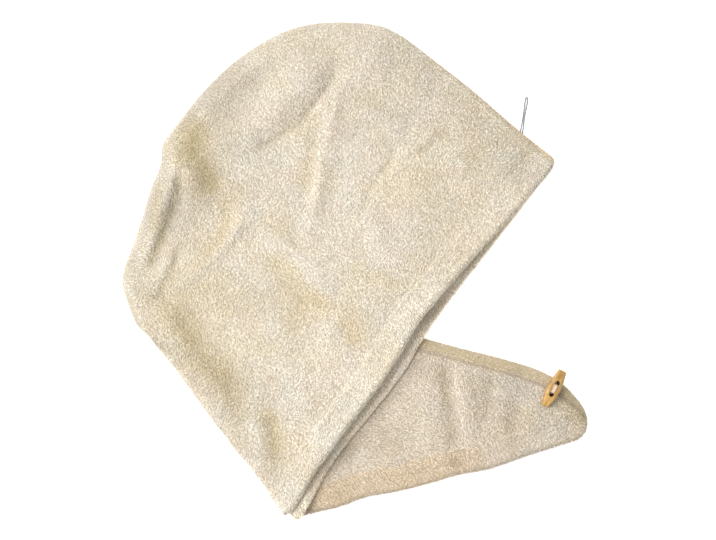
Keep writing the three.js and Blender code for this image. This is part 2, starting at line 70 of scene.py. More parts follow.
# Shared helpers
def mix(a, b, share):
    return a + (b - a) * share


def ease(value):
    t = np.clip(value, 0.0, 1.0)
    return t * t * (3.0 - 2.0 * t)


def unit(vectors):
    return vectors / np.maximum(np.linalg.norm(vectors, axis=-1, keepdims=True), 1e-12)


def dot(a, b):
    return np.sum(a * b, axis=-1)


# A smooth hump, 1 in its middle and nearly 0 at twice its width
def hump(distance, width):
    return np.exp(-((distance / width) ** 2))


# A smooth curve through all the points, at shares of the way from the first to the last
def curveThrough(points, shares):
    points = np.array(points, float)
    ends = np.vstack([2 * points[0] - points[1], points, 2 * points[-1] - points[-2]])
    spot = np.clip(shares, 0.0, 1.0) * (len(points) - 1)
    first = np.minimum(spot.astype(int), len(points) - 2)
    t = (spot - first)[:, None]
    p0, p1, p2, p3 = (ends[first + k] for k in range(4))
    d0, d1, d2 = (np.maximum(np.linalg.norm(b - a, axis=1, keepdims=True), 1e-9) ** 0.5
                  for a, b in ((p0, p1), (p1, p2), (p2, p3)))
    start = d1 * ((p1 - p0) / d0 - (p2 - p0) / (d0 + d1) + (p2 - p1) / d1)
    end = d1 * ((p2 - p1) / d1 - (p3 - p1) / (d1 + d2) + (p3 - p2) / d2)
    return (p1 + t * start + t ** 2 * (3 * (p2 - p1) - 2 * start - end)
            + t ** 3 * (2 * (p1 - p2) + start + end))


# A value between four corners, which corner(k, l) gives
def bilinear(corner, a, b):
    return mix(mix(corner(0, 0), corner(1, 0), a), mix(corner(0, 1), corner(1, 1), a), b)


# Smooth noise from -1 to 1 over the plane, with lumps of about this size
def softNoise(x, y, size, seed):
    cells = 64
    lattice = np.random.default_rng(seed).uniform(-1, 1, (cells, cells))
    u = np.asarray(x) / size + 17.3
    v = np.asarray(y) / size + 5.7
    i = np.floor(u).astype(int)
    j = np.floor(v).astype(int)
    return bilinear(
        lambda k, l: lattice[(i + k) % cells, (j + l) % cells], ease(u - i), ease(v - j))


def makePiece(name, vertices, faces, material, smooth=True):
    mesh = bpy.data.meshes.new(name)
    sides = faces.shape[1]
    mesh.vertices.add(len(vertices))
    mesh.vertices.foreach_set("co", np.ascontiguousarray(vertices, np.float32).ravel())
    mesh.loops.add(faces.size)
    mesh.loops.foreach_set("vertex_index", np.ascontiguousarray(faces, np.int32).ravel())
    mesh.polygons.add(len(faces))
    mesh.polygons.foreach_set("loop_start", np.arange(0, faces.size, sides, dtype=np.int32))
    mesh.polygons.foreach_set("use_smooth", np.full(len(faces), smooth))
    mesh.update(calc_edges=True)
    mesh.validate()
    mesh.materials.append(material)
    piece = bpy.data.objects.new(name, mesh)
    bpy.context.scene.collection.objects.link(piece)
    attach(piece, "root")
    return piece


def setAttribute(piece, name, values, kind="FLOAT", field="value"):
    attribute = piece.data.attributes.new(name, kind, "POINT")
    attribute.data.foreach_set(field, np.ascontiguousarray(values, np.float32).ravel())


black = (0, 0, 0, 1)
white = (1, 1, 1, 1)


# Nodes of a material, with short calls to add and join them
class Nodes:
    def __init__(self, name):
        self.material = bpy.data.materials.new(name)
        self.material.use_nodes = True
        self.tree = self.material.node_tree
        self.shader = self.tree.nodes["Principled BSDF"]

    def add(self, kind, values=None, **settings):
        node = self.tree.nodes.new(kind)
        for key, value in settings.items():
            setattr(node, key, value)
        for key, value in (values or {}).items():
            node.inputs[key].default_value = value
        return node

    def join(self, source, target):
        self.tree.links.new(source, target)

    def attribute(self, name, output="Fac"):
        return self.add("ShaderNodeAttribute", attribute_name=name).outputs[output]

    # The shader's colour, from a node, and its values that are the same all over
    def surface(self, colour, values):
        if colour:
            self.join(colour, self.shader.inputs["Base Color"])
        for key, value in values.items():
            self.shader.inputs[key].default_value = value

    def noise(self, coordinates, scale, detail=2.0, roughness=0.5, stretch=None):
        if stretch:
            mapping = self.add("ShaderNodeMapping", {"Scale": stretch})
            self.join(coordinates, mapping.inputs["Vector"])
            coordinates = mapping.outputs["Vector"]
        node = self.add("ShaderNodeTexNoise",
                        {"Scale": scale, "Detail": detail, "Roughness": roughness})
        self.join(coordinates, node.inputs["Vector"])
        return node.outputs["Fac"]

    def ramp(self, source, low, high, lowAt=0.0, highAt=1.0):
        node = self.add("ShaderNodeValToRGB")
        node.color_ramp.elements[0].position = lowAt
        node.color_ramp.elements[0].color = low
        node.color_ramp.elements[1].position = highAt
        node.color_ramp.elements[1].color = high
        self.join(source, node.inputs["Fac"])
        return node.outputs["Color"]

    def blend(self, factor, first, second, how="MIX"):
        node = self.add("ShaderNodeMix", data_type="RGBA", blend_type=how)
        for socket, value in ((0, factor), (6, first), (7, second)):
            if isinstance(value, (float, tuple)):
                node.inputs[socket].default_value = value
            else:
                self.join(value, node.inputs[socket])
        return node.outputs[2]

    def bump(self, height, strength, distance):
        node = self.add("ShaderNodeBump", {"Strength": strength, "Distance": distance})
        self.join(height, node.inputs["Height"])
        self.join(node.outputs["Normal"], self.shader.inputs["Normal"])


# Terry cloth. warm, flush and shade are kept on the mesh: how golden, how rosy and how light
# each point is; shade holds painted shade and painted light besides the cloth's own random tone.
terryFinish = {
    "cream": (0.85, 0.81, 0.73, 1.0),
    "golden": (0.75, 0.63, 0.385, 1.0),
    "blush": (0.855, 0.785, 0.70, 1.0),
    "rosy": (0.87, 0.69, 0.53, 1.0),
    "blushSize": 38.0,     # patches to a metre
    "roughness": 0.95,
    "sheen": 0.25,
    "sheenRoughness": 0.6,
    "gloss": 0.15,
    "groundShadeGold": 0.45,    # gold added to the painted shade of the ground cloth
    "groundShade": 0.62,   # and its lightness
    "loops": 900.0,        # loops of the ground cloth to a metre
    "loopDepth": 0.0007,
    "fibres": 2600.0,
}


def terryMaterial(name, finish, ground):
    nodes = Nodes(name)
    where = nodes.add("ShaderNodeTexCoord").outputs["Object"]
    warm, flush, shade = (nodes.attribute(tone) for tone in ("warm", "flush", "shade"))
    drift = nodes.ramp(nodes.noise(where, finish["blushSize"], 3.0, 0.6), black, white, 0.42, 0.62)
    colour = nodes.blend(drift, finish["cream"], finish["blush"])
    colour = nodes.blend(warm, colour, finish["golden"])
    colour = nodes.blend(flush, colour, finish["rosy"])
    speckle = nodes.ramp(nodes.noise(where, finish["fibres"] / 4, 3.0, 0.6),
                         (0.86, 0.85, 0.83, 1), (1.06, 1.06, 1.06, 1), 0.3, 0.7)
    colour = nodes.blend(1.0, colour, speckle, "MULTIPLY")
    # shade multiplies the painted shade and painted light kept on the mesh into the colour
    colour = nodes.blend(1.0, colour, shade, "MULTIPLY")
    nodes.surface(colour, {
        "Roughness": finish["roughness"], "Sheen Weight": finish["sheen"],
        "Sheen Roughness": finish["sheenRoughness"], "Specular IOR Level": finish["gloss"]})
    if ground:
        loops = nodes.add("ShaderNodeTexVoronoi", {"Scale": finish["loops"]})
        nodes.join(where, loops.inputs["Vector"])
        nodes.bump(loops.outputs["Distance"], 0.9, finish["loopDepth"])
    else:
        nodes.bump(nodes.noise(where, finish["fibres"], 2.0), 0.4, 0.0003)
    return nodes.material


groundMaterial = terryMaterial("terryGround", terryFinish, True)
pileMaterial = terryMaterial("terryPile", terryFinish, False)


# Elastic loop: its strands' centre lines, a little closer together than in the part: out from the
# seam, half the distance between the strands, height
loopRoute = [
    (-0.0014, 0.00115, 0.00290),
    (0.0010, 0.00112, 0.00315),
    (0.0035, 0.00100, 0.00310),
    (0.0070, 0.00084, 0.00240),
    (0.0110, 0.00078, 0.00130),
    (0.0150, 0.00080, 0.00080),
    (0.0190, 0.00095, 0.00070),
    (0.0230, 0.00112, 0.00070),
    (0.0265, 0.00120, 0.00070),
    (0.0292, 0.00108, 0.00070),
]
loop = {
    "tip": 0.0307,
    "cord": 0.0012,
    "turn": 28.5,           # degrees that it leans away from the hem
    "inward": 0.0019,       # how far its foot goes in under the seam
    "steps": 190,
    "sides": 14,
    "braidPitch": 0.0022,   # length of one turn of the braid
    "braidStrands": 4,
    "braidDepth": 0.05,     # of the cord's radius
    "length": 0.065,
    "rib": 0.00055,         # from rib to rib of its weave
    "dark": (0.17, 0.17, 0.168, 1),
    "light": (0.31, 0.31, 0.305, 1),
    "roughness": 0.7,
}


# A tube round a line of points, with its ends closed. relief says how far each vertex of a ring
# stands out, as a share of the radius.
def tubeMesh(centres, radius, sides, relief):
    ahead = unit(np.gradient(centres, axis=0))
    side = unit(np.cross(ahead, (0.0, 0.0, 1.0)))
    top = np.cross(side, ahead)
    angle = 2 * math.pi * np.arange(sides) / sides
    reach = radius * (1 + relief)
    rings = centres[:, None] + reach[..., None] * (
        np.cos(angle)[None, :, None] * side[:, None] + np.sin(angle)[None, :, None] * top[:, None])
    ring = np.arange(sides)
    after = (ring + 1) % sides
    start = (np.arange(len(centres) - 1) * sides)[:, None]
    corners = [start + ring, start + sides + ring, start + sides + after, start + after]
    walls = np.stack(corners, axis=-1).reshape(-1, 4)
    walls = np.vstack([walls[:, [0, 2, 1]], walls[:, [0, 3, 2]]])
    last = (len(centres) - 1) * sides
    caps = [(0, k, k + 1) for k in range(1, sides - 1)]
    caps += [(last, last + k + 1, last + k) for k in range(1, sides - 1)]
    faces = np.vstack([walls, np.array(caps)])
    return rings.reshape(-1, 3), faces[:, ::-1]


def makeLoop(setup):
    turn = math.radians(setup["turn"])
    low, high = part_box("elastic_loop")
    radius = setup["cord"] / 2
    out = np.array([-math.sin(turn), math.cos(turn), 0.0])
    footX = high.x - radius * math.cos(turn) - loopRoute[0][1]
    foot = np.array([footX, low.y + radius * math.sin(turn), 0.0]) - out * setup["inward"]
    there = [foot + out * reach + (side, 0, height) for reach, side, height in loopRoute]
    back = [foot + out * reach + (-side, 0, height) for reach, side, height in loopRoute[::-1]]
    tip = foot + out * setup["tip"] + (0, 0, loopRoute[-1][2])
    centres = curveThrough([*there, tip, *back], np.linspace(0, 1, setup["steps"]))
    step = np.linalg.norm(np.diff(centres, axis=0), axis=1)
    run = np.concatenate([[0], np.cumsum(step)])
    print("loop length", round(float(run[-1]), 4))
    turns = 2 * math.pi * run[:, None] / setup["braidPitch"]
    ring = 2 * math.pi * np.arange(setup["sides"])[None] / setup["sides"]
    half = setup["braidStrands"] / 2
    braid = setup["braidDepth"] * (
        np.abs(np.cos(half * (ring + turns))) + np.abs(np.cos(half * (ring - turns))) - 1)
    vertices, faces = tubeMesh(centres, radius, setup["sides"], braid)
    piece = makePiece("loop_cord", vertices, faces, elasticMaterial(setup))
    setAttribute(piece, "along", np.repeat(run, setup["sides"]))
    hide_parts("elastic_loop")


def elasticMaterial(setup):
    nodes = Nodes("elasticBraid")
    along = nodes.attribute("along")
    ribs = nodes.add("ShaderNodeMath", {1: 2 * math.pi / setup["rib"]}, operation="MULTIPLY")
    nodes.join(along, ribs.inputs[0])
    wave = nodes.add("ShaderNodeMath", operation="SINE")
    nodes.join(ribs.outputs[0], wave.inputs[0])
    colour = nodes.ramp(wave.outputs[0], setup["dark"], setup["light"], 0.0, 0.8)
    nodes.surface(colour, {"Roughness": setup["roughness"]})
    return nodes.material


makeLoop(loop)
print("elastic loop made")


# Sizes of the cloth, as in the part but for the bows of the front and the tail's tip
cloth = {
    "ply": 0.003,
    "hemPly": 0.004,
    "hemWidth": 0.022,
    "gap": 0.0003,
    "slack": 0.0006,
    "edgeRun": 0.009,
    "hoodHem": 0.3845,
    "hoodDepth": 0.2863,
    "hoodLoft": 0.0085,
    "loftRun": 0.045,
    "cornerRound": 0.007,
    "frontBow": 0.0035,
    "frontBowRun": 0.083,
    "tipBow": 0.0012,
    "tipRun": 0.020,
    "hemWander": 0.010,
    "foldRadius": 0.0025,
    "foldRun": 0.032,
    "drapeStart": 0.001,
    "drapeRun": 0.024,
    "bridgeRun": 0.095,
    "tailLength": 0.269,
    "tailWidth": 0.183,
    "tailAngle": 37.0,
    "foldHeight": 0.005,
    "foldFade": 0.25,
    "foldEnd": 0.35,
    "hemLimit": 0.3,
    "rollLimit": 0.2,
}

# Sections of the hood from the front seam to the fold, in thousandths, the second one off the
# part's: hem, seamAlong (of hoodHem), seamIn (of hoodDepth), upperIn, lowerIn (of hemWander)
hoodSections = np.array([
    (0, 0, 600, 0, 0), (40, 8, 681, 0, 0), (80, 36, 758, 100, 0), (130, 83, 842, 200, 0),
    (180, 145, 910, 300, 0), (240, 223, 957, 500, 0), (300, 306, 987, 750, 0),
    (370, 389, 999, 900, 0), (430, 466, 1000, 1000, 0), (480, 526, 997, 1100, -50),
    (530, 567, 964, 900, -200), (580, 622, 943, 650, -500), (640, 687, 910, 460, -600),
    (700, 751, 880, 430, -600), (760, 803, 856, 400, -500), (810, 834, 831, 370, -450),
    (860, 861, 782, 300, -500), (910, 882, 736, 240, -700), (955, 892, 704, 0, -1000),
    (1000, 877, 672, -300, -1250),
]) / 1000

# Sections of the tail from the fold to the tip, in thousandths, the last three rounder than the
# part's: hem, seamAlong (of tailLength), hemIn, seamIn (of tailWidth)
tailSections = np.array([
    (60, -200, 0, 1000), (130, -60, -4, 996), (220, 106, 7, 956), (320, 264, -6, 875),
    (430, 414, -10, 771), (540, 542, -8, 668), (640, 659, -20, 569), (740, 780, -10, 468),
    (830, 888, -4, 364), (900, 944, 0, 278), (950, 972, 6, 208), (975, 985, 24, 165),
    (988, 992, 52, 128),
]) / 1000

# Ridges and dents of the hood, as in the part, in thousandths:
# along, in, toAlong, toIn, width (of hoodDepth), rise (of foldHeight)
hoodFolds = np.array([
    (109, 720, 289, 707, 36, -750), (289, 707, 410, 777, 36, -650), (213, 790, 430, 842, 70, 850),
    (240, 631, 472, 471, 28, 500), (12, 450, 286, 399, 40, -350), (451, 930, 535, 772, 55, -900),
    (560, 886, 674, 822, 26, -950), (674, 822, 753, 799, 26, -900),
    (710, 745, 815, 726, 26, -750), (532, 650, 757, 689, 30, 600), (154, 849, 432, 925, 45, -500),
    (784, 661, 874, 313, 50, -800), (858, 225, 940, 130, 35, -600), (547, 576, 556, 313, 45, 350),
]) / 1000

# Finer creases: half width and rise in mm, and the places (along, in) that they run through,
# in thousandths
hoodCreases = [
    (3.6, -1.5, (140, 705), (205, 704), (283, 701), (349, 725), (415, 767)),
    (15.0, 1.3, (180, 745), (295, 772), (415, 822)),
    (4.4, 1.0, (130, 680), (222, 641), (276, 624), (322, 594), (372, 552), (456, 497),
     (490, 460)),
    (5.0, -0.9, (290, 655), (368, 592), (433, 539)),
    (4.6, 1.0, (530, 668), (613, 650), (654, 657), (740, 674)),
    (6.0, -1.0, (540, 702), (606, 685), (667, 679), (710, 684)),
    (4.2, -2.0, (545, 905), (607, 861), (654, 841), (707, 822), (790, 790)),
    (4.5, 0.9, (545, 890), (578, 856), (620, 825)),
    (4.6, -1.5, (690, 765), (731, 730), (782, 723), (835, 705)),
    (4.0, 1.0, (700, 780), (755, 751), (810, 732)),
    (9.0, 1.1, (555, 600), (545, 522), (545, 450), (550, 375), (556, 290)),
    (4.2, -1.0, (85, 328), (148, 341), (200, 360)),
    (3.8, -1.0, (195, 428), (249, 406), (305, 412), (370, 380)),
    (8.0, 0.7, (370, 380), (404, 281), (430, 195)),
    (12.0, -1.6, (410, 931), (465, 945), (502, 907), (514, 837), (535, 770)),
    (10.0, -0.9, (100, 805), (167, 857), (283, 893), (400, 913)),
    (14.0, -1.6, (790, 720), (802, 646), (833, 563), (857, 467), (858, 323)),
    (8.0, -1.6, (860, 290), (874, 202), (912, 148), (965, 120)),
    (7.0, -0.8, (842, 440), (901, 322), (935, 260)),
    (7.5, 1.2, (890, 265), (940, 197), (980, 135)),
    (13.0, 1.0, (740, 270), (798, 181), (811, 147)),
    (12.0, -0.8, (38, 618), (72, 576), (105, 558)),
    (16.0, -0.7, (575, 547), (610, 397), (588, 250)),
    (6.0, 0.6, (50, 90), (241, 89), (453, 94), (700, 90), (930, 88)),
]

# The same for the tail: along and the folds' width are of tailLength, in is of tailWidth
tailFolds = np.array([
    (612, 560, 558, 0, 30, -420), (644, 540, 594, 10, 26, 340), (718, 430, 640, 210, 34, -400),
    (826, 360, 715, 65, 30, -300),
]) / 1000
tailCreases = [
    (5.5, -1.1, (600, 570), (568, 400), (547, 200), (530, 20)),
    (5.0, 1.2, (635, 520), (603, 300), (590, 100)),
    (4.5, -1.2, (725, 430), (690, 320), (663, 200), (655, 150)),
    (4.5, -0.7, (800, 260), (752, 170), (715, 30)),
    (4.0, 0.7, (760, 340), (725, 220), (705, 120)),
    (5.0, 0.8, (500, 450), (480, 250), (470, 120)),
    (9.0, -0.8, (930, 240), (975, 120), (985, 50)),
]

# Plan points are (along, in): along the hood's hem from the front corner, and in from that hem
tailTurn = math.radians(cloth["tailAngle"])
tailAxis = np.array([-math.cos(tailTurn), -math.sin(tailTurn)])
tailSide = np.array([-math.sin(tailTurn), math.cos(tailTurn)])
hoodCorner = np.array([cloth["hoodHem"], 0.0])
foldSeam = hoodSections[-1, 1:3] * (cloth["hoodHem"], cloth["hoodDepth"])
foldLine = unit(foldSeam - hoodCorner)
foldOut = np.array([foldLine[1], -foldLine[0]])


def foldHem(panel):
    column = 3 if panel == "upper" else 4
    inward = hoodSections[-1, column] * cloth["hemWander"]
    return hoodCorner + foldLine * inward / foldLine[1]


def tailPoint(along, inward):
    along = np.asarray(along)[..., None]
    inward = np.asarray(inward)[..., None]
    return foldHem("lower") + tailAxis * along + tailSide * inward


def tailCurve(panel, side, shares):
    alongColumn, inColumn = (0, 2) if side == "hem" else (1, 3)
    start = foldHem(panel) if side == "hem" else foldSeam
    points = tailPoint(tailSections[:, alongColumn] * cloth["tailLength"],
                       tailSections[:, inColumn] * cloth["tailWidth"])
    return curveThrough([start, *points], shares)


def segmentSpot(points, start, end):
    span = np.asarray(end) - start
    share = np.clip(dot(points - start, span) / dot(span, span), 0.0, 1.0)
    return np.linalg.norm(points - start - share[..., None] * span, axis=-1), share


# Height of the folds at plan points. size is what the folds' widths are shares of.
def foldRelief(points, folds, place, size):
    height = np.zeros(points.shape[:-1])
    for along, inward, toAlong, toIn, width, rise in folds:
        distance, share = segmentSpot(points, place(along, inward), place(toAlong, toIn))
        fade = ease(share / cloth["foldFade"]) * ease((1 - share) / cloth["foldFade"])
        profile = hump(distance, width * size)
        height += rise * cloth["foldHeight"] * profile * mix(cloth["foldEnd"], 1.0, fade)
    return height


# Distance of plan points from a line through several places, and their share of the way along it
def pathSpot(points, places):
    spans = [np.linalg.norm(b - a) for a, b in zip(places, places[1:])]
    nearest = np.full(points.shape[:-1], np.inf)
    spot = np.zeros(points.shape[:-1])
    passed = 0.0
    for a, b, span in zip(places, places[1:], spans):
        distance, share = segmentSpot(points, a, b)
        closer = distance < nearest
        nearest = np.where(closer, distance, nearest)
        spot = np.where(closer, (passed + share * span) / sum(spans), spot)
        passed += span
    return nearest, spot


# How strongly plan points feel a line of this half width, 0 to 1
def pathShare(points, places, width):
    distance, spot = pathSpot(points, places)
    run, start = relief["endRun"], relief["endStart"]
    return hump(distance, width) * ease(spot / run + start) * ease((1 - spot) / run + start)


# Plan points of places in thousandths
def planPlaces(place, spots):
    return [place(*np.divide(spot, 1000)) for spot in spots]


def creaseRelief(points, creases, place):
    height = np.zeros(points.shape[:-1])
    for width, rise, *spots in creases:
        share = pathShare(points, planPlaces(place, spots), width / 1000)
        height += relief["creaseScale"] * rise / 1000 * share
    return height


def hoodPlace(along, inward):
    return np.array([along * cloth["hoodHem"], inward * cloth["hoodDepth"]])


def tailPlace(along, inward):
    return tailPoint(along * cloth["tailLength"], inward * cloth["tailWidth"])


# Distance of plan points outside the tail's footprint, negative inside it
def outsideTail(points):
    shares = np.linspace(0, 1, 41)
    seam, hem = (tailCurve("lower", side, shares) for side in ("seam", "hem"))
    outline = np.vstack([seam, hem[::-1]])
    nearest = np.full(points.shape[:-1], np.inf)
    inside = np.zeros(points.shape[:-1], bool)
    for a, b in zip(outline, np.roll(outline, -1, axis=0)):
        if np.linalg.norm(b - a) > 0:
            nearest = np.minimum(nearest, segmentSpot(points, a, b)[0])
        if a[1] != b[1]:
            spans = (a[1] > points[..., 1]) != (b[1] > points[..., 1])
            crossing = a[0] + (points[..., 1] - a[1]) / (b[1] - a[1]) * (b[0] - a[0])
            inside ^= spans & (points[..., 0] < crossing)
    return np.where(inside, -nearest, nearest)


# Fineness of the cloth's mesh: sections of the hood, fold and tail, and rows from hem to seam
fineness = {
    "frontShares": (0.0, 0.0015, 0.004, 0.008, 0.013, 0.019, 0.025),
    "hoodCells": 122,
    "bendCells": 12,
    "tailCells": 88,
    "middleRows": 66,
    "hemShares": (0, 0.02, 0.05, 0.09, 0.15, 0.25, 0.4, 0.55, 0.7, 0.82, 0.9, 0.95, 1, 1.05, 1.1),
    "rollShares": (0.8, 0.6, 0.44, 0.3, 0.18, 0.09, 0.03, 0.0),
}

# Finer relief of the cloth's outer side than the part has
relief = {
    "rimRun": 0.0045,       # rounded lip of the hem
    "rimRound": 0.46,       # of the cloth's thickness
    "groove": 0.0003,       # depth of the hem's stitch line
    "grooveWidth": 0.0030,
    "crease": 0.0009,       # depth of the crease beside the tail's seam
    "creaseFrom": 0.0095,   # from the seam
    "creaseWidth": 0.0012,
    "lump": 0.0007,
    "pucker": 0.0005,
    "puckerSize": 0.006,
    "puckerWidth": 0.009,
    "bed": 0.0009,          # how far the ground cloth lies under the pile's tips
    "creaseScale": 1.2,     # of the finer creases' rise
    "endRun": 0.2,          # share of a crease over which its ends fade
    "endStart": 0.25,
    "coverFrom": 0.004,     # from the hood's hem to where the tail's cloth is out of sight
    "coverRun": 0.012,
}
seeds = {
    "upper": {"relief": 11, "tones": 31, "swirl": 61, "strands": 5},
    "lower": {"relief": 23, "tones": 47, "swirl": 79, "strands": 8},
}


# All sections of a panel, front seam to tip, as arrays
def panelSections(panel):
    front = fineness["frontShares"]
    share = np.concatenate([front, np.linspace(front[-1], 1.0, fineness["hoodCells"] + 1)[1:]])
    hoodHem = cloth["hoodHem"]
    seamPoints = hoodSections[:, [1, 2, 0]] * (hoodHem, cloth["hoodDepth"], hoodHem)
    hemPoints = hoodSections[:, [0, 3, 4]] * (hoodHem, cloth["hemWander"], cloth["hemWander"])
    seam = curveThrough(seamPoints, share)[:, :2]
    hemRow = curveThrough(hemPoints, share)
    rounding = np.clip(1 - hemRow[:, 0] / cloth["cornerRound"], 0.0, 1.0)
    corner = cloth["cornerRound"] * (1 - np.sqrt(1 - rounding ** 2))
    inward = hemRow[:, 1] if panel == "upper" else hemRow[:, 2]
    hem = np.stack([hemRow[:, 0], inward + corner], axis=1)
    behind = np.zeros(len(share)) if panel == "upper" else hemRow[:, 1] - hemRow[:, 2]
    bends = fineness["bendCells"] - 1
    turn = np.pi * np.arange(1, bends + 1) / (bends + 1)
    tailShare = np.linspace(0, 1, fineness["tailCells"] + 1)
    tailHem = tailCurve(panel, "hem", tailShare)
    tailSeam = tailCurve(panel, "seam", tailShare)
    foldStep = 0 if panel == "upper" else np.linalg.norm(foldHem("upper") - foldHem("lower"))
    tailBehind = np.linalg.norm(tailHem - tailCurve("upper", "hem", tailShare), axis=1)
    middle = (tailHem + tailSeam) / 2
    across = unit(tailSeam[-1] - tailHem[-1])
    offset = middle - tailHem[-1]
    fromTip = np.abs(offset[:, 0] * across[1] - offset[:, 1] * across[0])
    return {
        "hem": np.vstack([hem, np.tile(foldHem(panel), (bends, 1)), tailHem]),
        "seam": np.vstack([seam, np.tile(foldSeam, (bends, 1)), tailSeam]),
        "behind": np.concatenate([behind, np.full(bends, foldStep), tailBehind]),
        "turn": np.concatenate([np.zeros(len(share)), turn, np.full(len(tailShare), np.pi)]),
        "fromFront": np.concatenate([hemRow[:, 0], np.full(bends + len(tailShare), np.inf)]),
        "fromTip": np.concatenate([np.full(len(share) + bends, np.inf), fromTip]),
        "stage": np.repeat([0, 1, 2], [len(share), bends, len(tailShare)]),
    }


def hemShare(distance, band):
    return ease((1.08 - distance / band) / 0.16)


def byStage(stage, hood, bend, tail):
    return np.where(stage == 0, hood, np.where(stage == 1, bend, tail))


# Both faces of a panel as grids of points, and what its finish needs at each
def panelGrid(panel):
    part = panelSections(panel)
    hem = part["hem"][:, None]
    reach = part["seam"][:, None] - hem
    length = np.linalg.norm(reach, axis=-1)
    across = unit(reach)
    band = np.minimum(cloth["hemWidth"], length * cloth["hemLimit"])
    roll = np.minimum(cloth["edgeRun"], length * cloth["rollLimit"])
    hemRows = np.array(fineness["hemShares"]) * band
    rollRows = length - np.array(fineness["rollShares"]) * roll
    middle = np.linspace(0, 1, fineness["middleRows"] + 2)[1:-1]
    middleRows = mix(hemRows[:, -1:], rollRows[:, :1], middle)
    distance = np.hstack([hemRows, middleRows, rollRows])
    point = hem + across * distance[..., None]
    stage = part["stage"][:, None]
    fromSide = np.minimum(part["fromFront"], part["fromTip"])[:, None]
    fromSeam = np.minimum(length - distance, fromSide)
    thickness = mix(cloth["ply"], cloth["hemPly"], hemShare(distance, band))
    hemPart = hemShare(distance - part["behind"][:, None], band)
    closed = (2 * mix(cloth["ply"], cloth["hemPly"], hemPart) + cloth["gap"]
              + cloth["slack"] * ease(fromSeam / cloth["edgeRun"]))
    puff = 2 * (cloth["hemPly"] - cloth["ply"]) * (1 - hemPart)
    edgeAir = puff * (1 - ease(fromSeam / cloth["loftRun"]))
    fromFold = np.maximum(0, -dot(point - foldSeam, foldOut))
    settle = ease(fromFold / cloth["foldRun"])
    loft = ease(fromSeam / cloth["loftRun"])
    edge = ease(fromSeam / cloth["edgeRun"])
    beyond = outsideTail(point)
    outside = beyond - cloth["drapeStart"]
    tailStack = 2 * cloth["hemPly"] + cloth["slack"] + 2 * cloth["gap"]
    lift = tailStack * (1 - ease(outside / cloth["drapeRun"]))
    bridge = (tailStack * (1 - ease(outside / cloth["bridgeRun"])) - lift) * loft
    air = cloth["hoodLoft"] * loft * ease(fromFold / cloth["loftRun"])
    hoodHeight = closed + edgeAir + air + bridge + edge * settle * (
        foldRelief(point, hoodFolds, hoodPlace, cloth["hoodDepth"])
        + creaseRelief(point, hoodCreases, hoodPlace))
    tailHeight = closed + edgeAir + puff * loft * settle + edge * settle * (
        foldRelief(point, tailFolds, tailPlace, cloth["tailLength"])
        + creaseRelief(point, tailCreases, tailPlace))
    height = byStage(stage, np.maximum(closed, hoodHeight), closed + edgeAir,
                     np.maximum(closed, tailHeight))
    base = mix(closed + edgeAir + 2 * cloth["foldRadius"], lift, settle)
    hidden = np.where(
        (panel == "lower") & (stage == 0), ease(-beyond / relief["coverRun"]), 0.0)
    covered = ease((point[..., 1] - relief["coverFrom"]) / relief["coverRun"])
    hidden = np.where((panel == "lower") & (stage == 2), covered, hidden)
    sideways = np.where(stage == 0, (1.0, 0.0), -tailAxis)[:, None]
    grid = {"across": across, "distance": distance, "band": band, "fromSeam": fromSeam,
            "toSeam": length - distance,
            "stage": np.broadcast_to(stage, distance.shape), "hidden": hidden, "plan": point,
            "behind": part["behind"][:, None],
            "fromFront": np.broadcast_to(part["fromFront"][:, None], distance.shape)}
    for outer in (True, False):
        grid["outer" if outer else "inner"] = faceGrid(
            panel, part, grid, outer, thickness, height, base, roll, length, fromSide, sideways)
    return grid


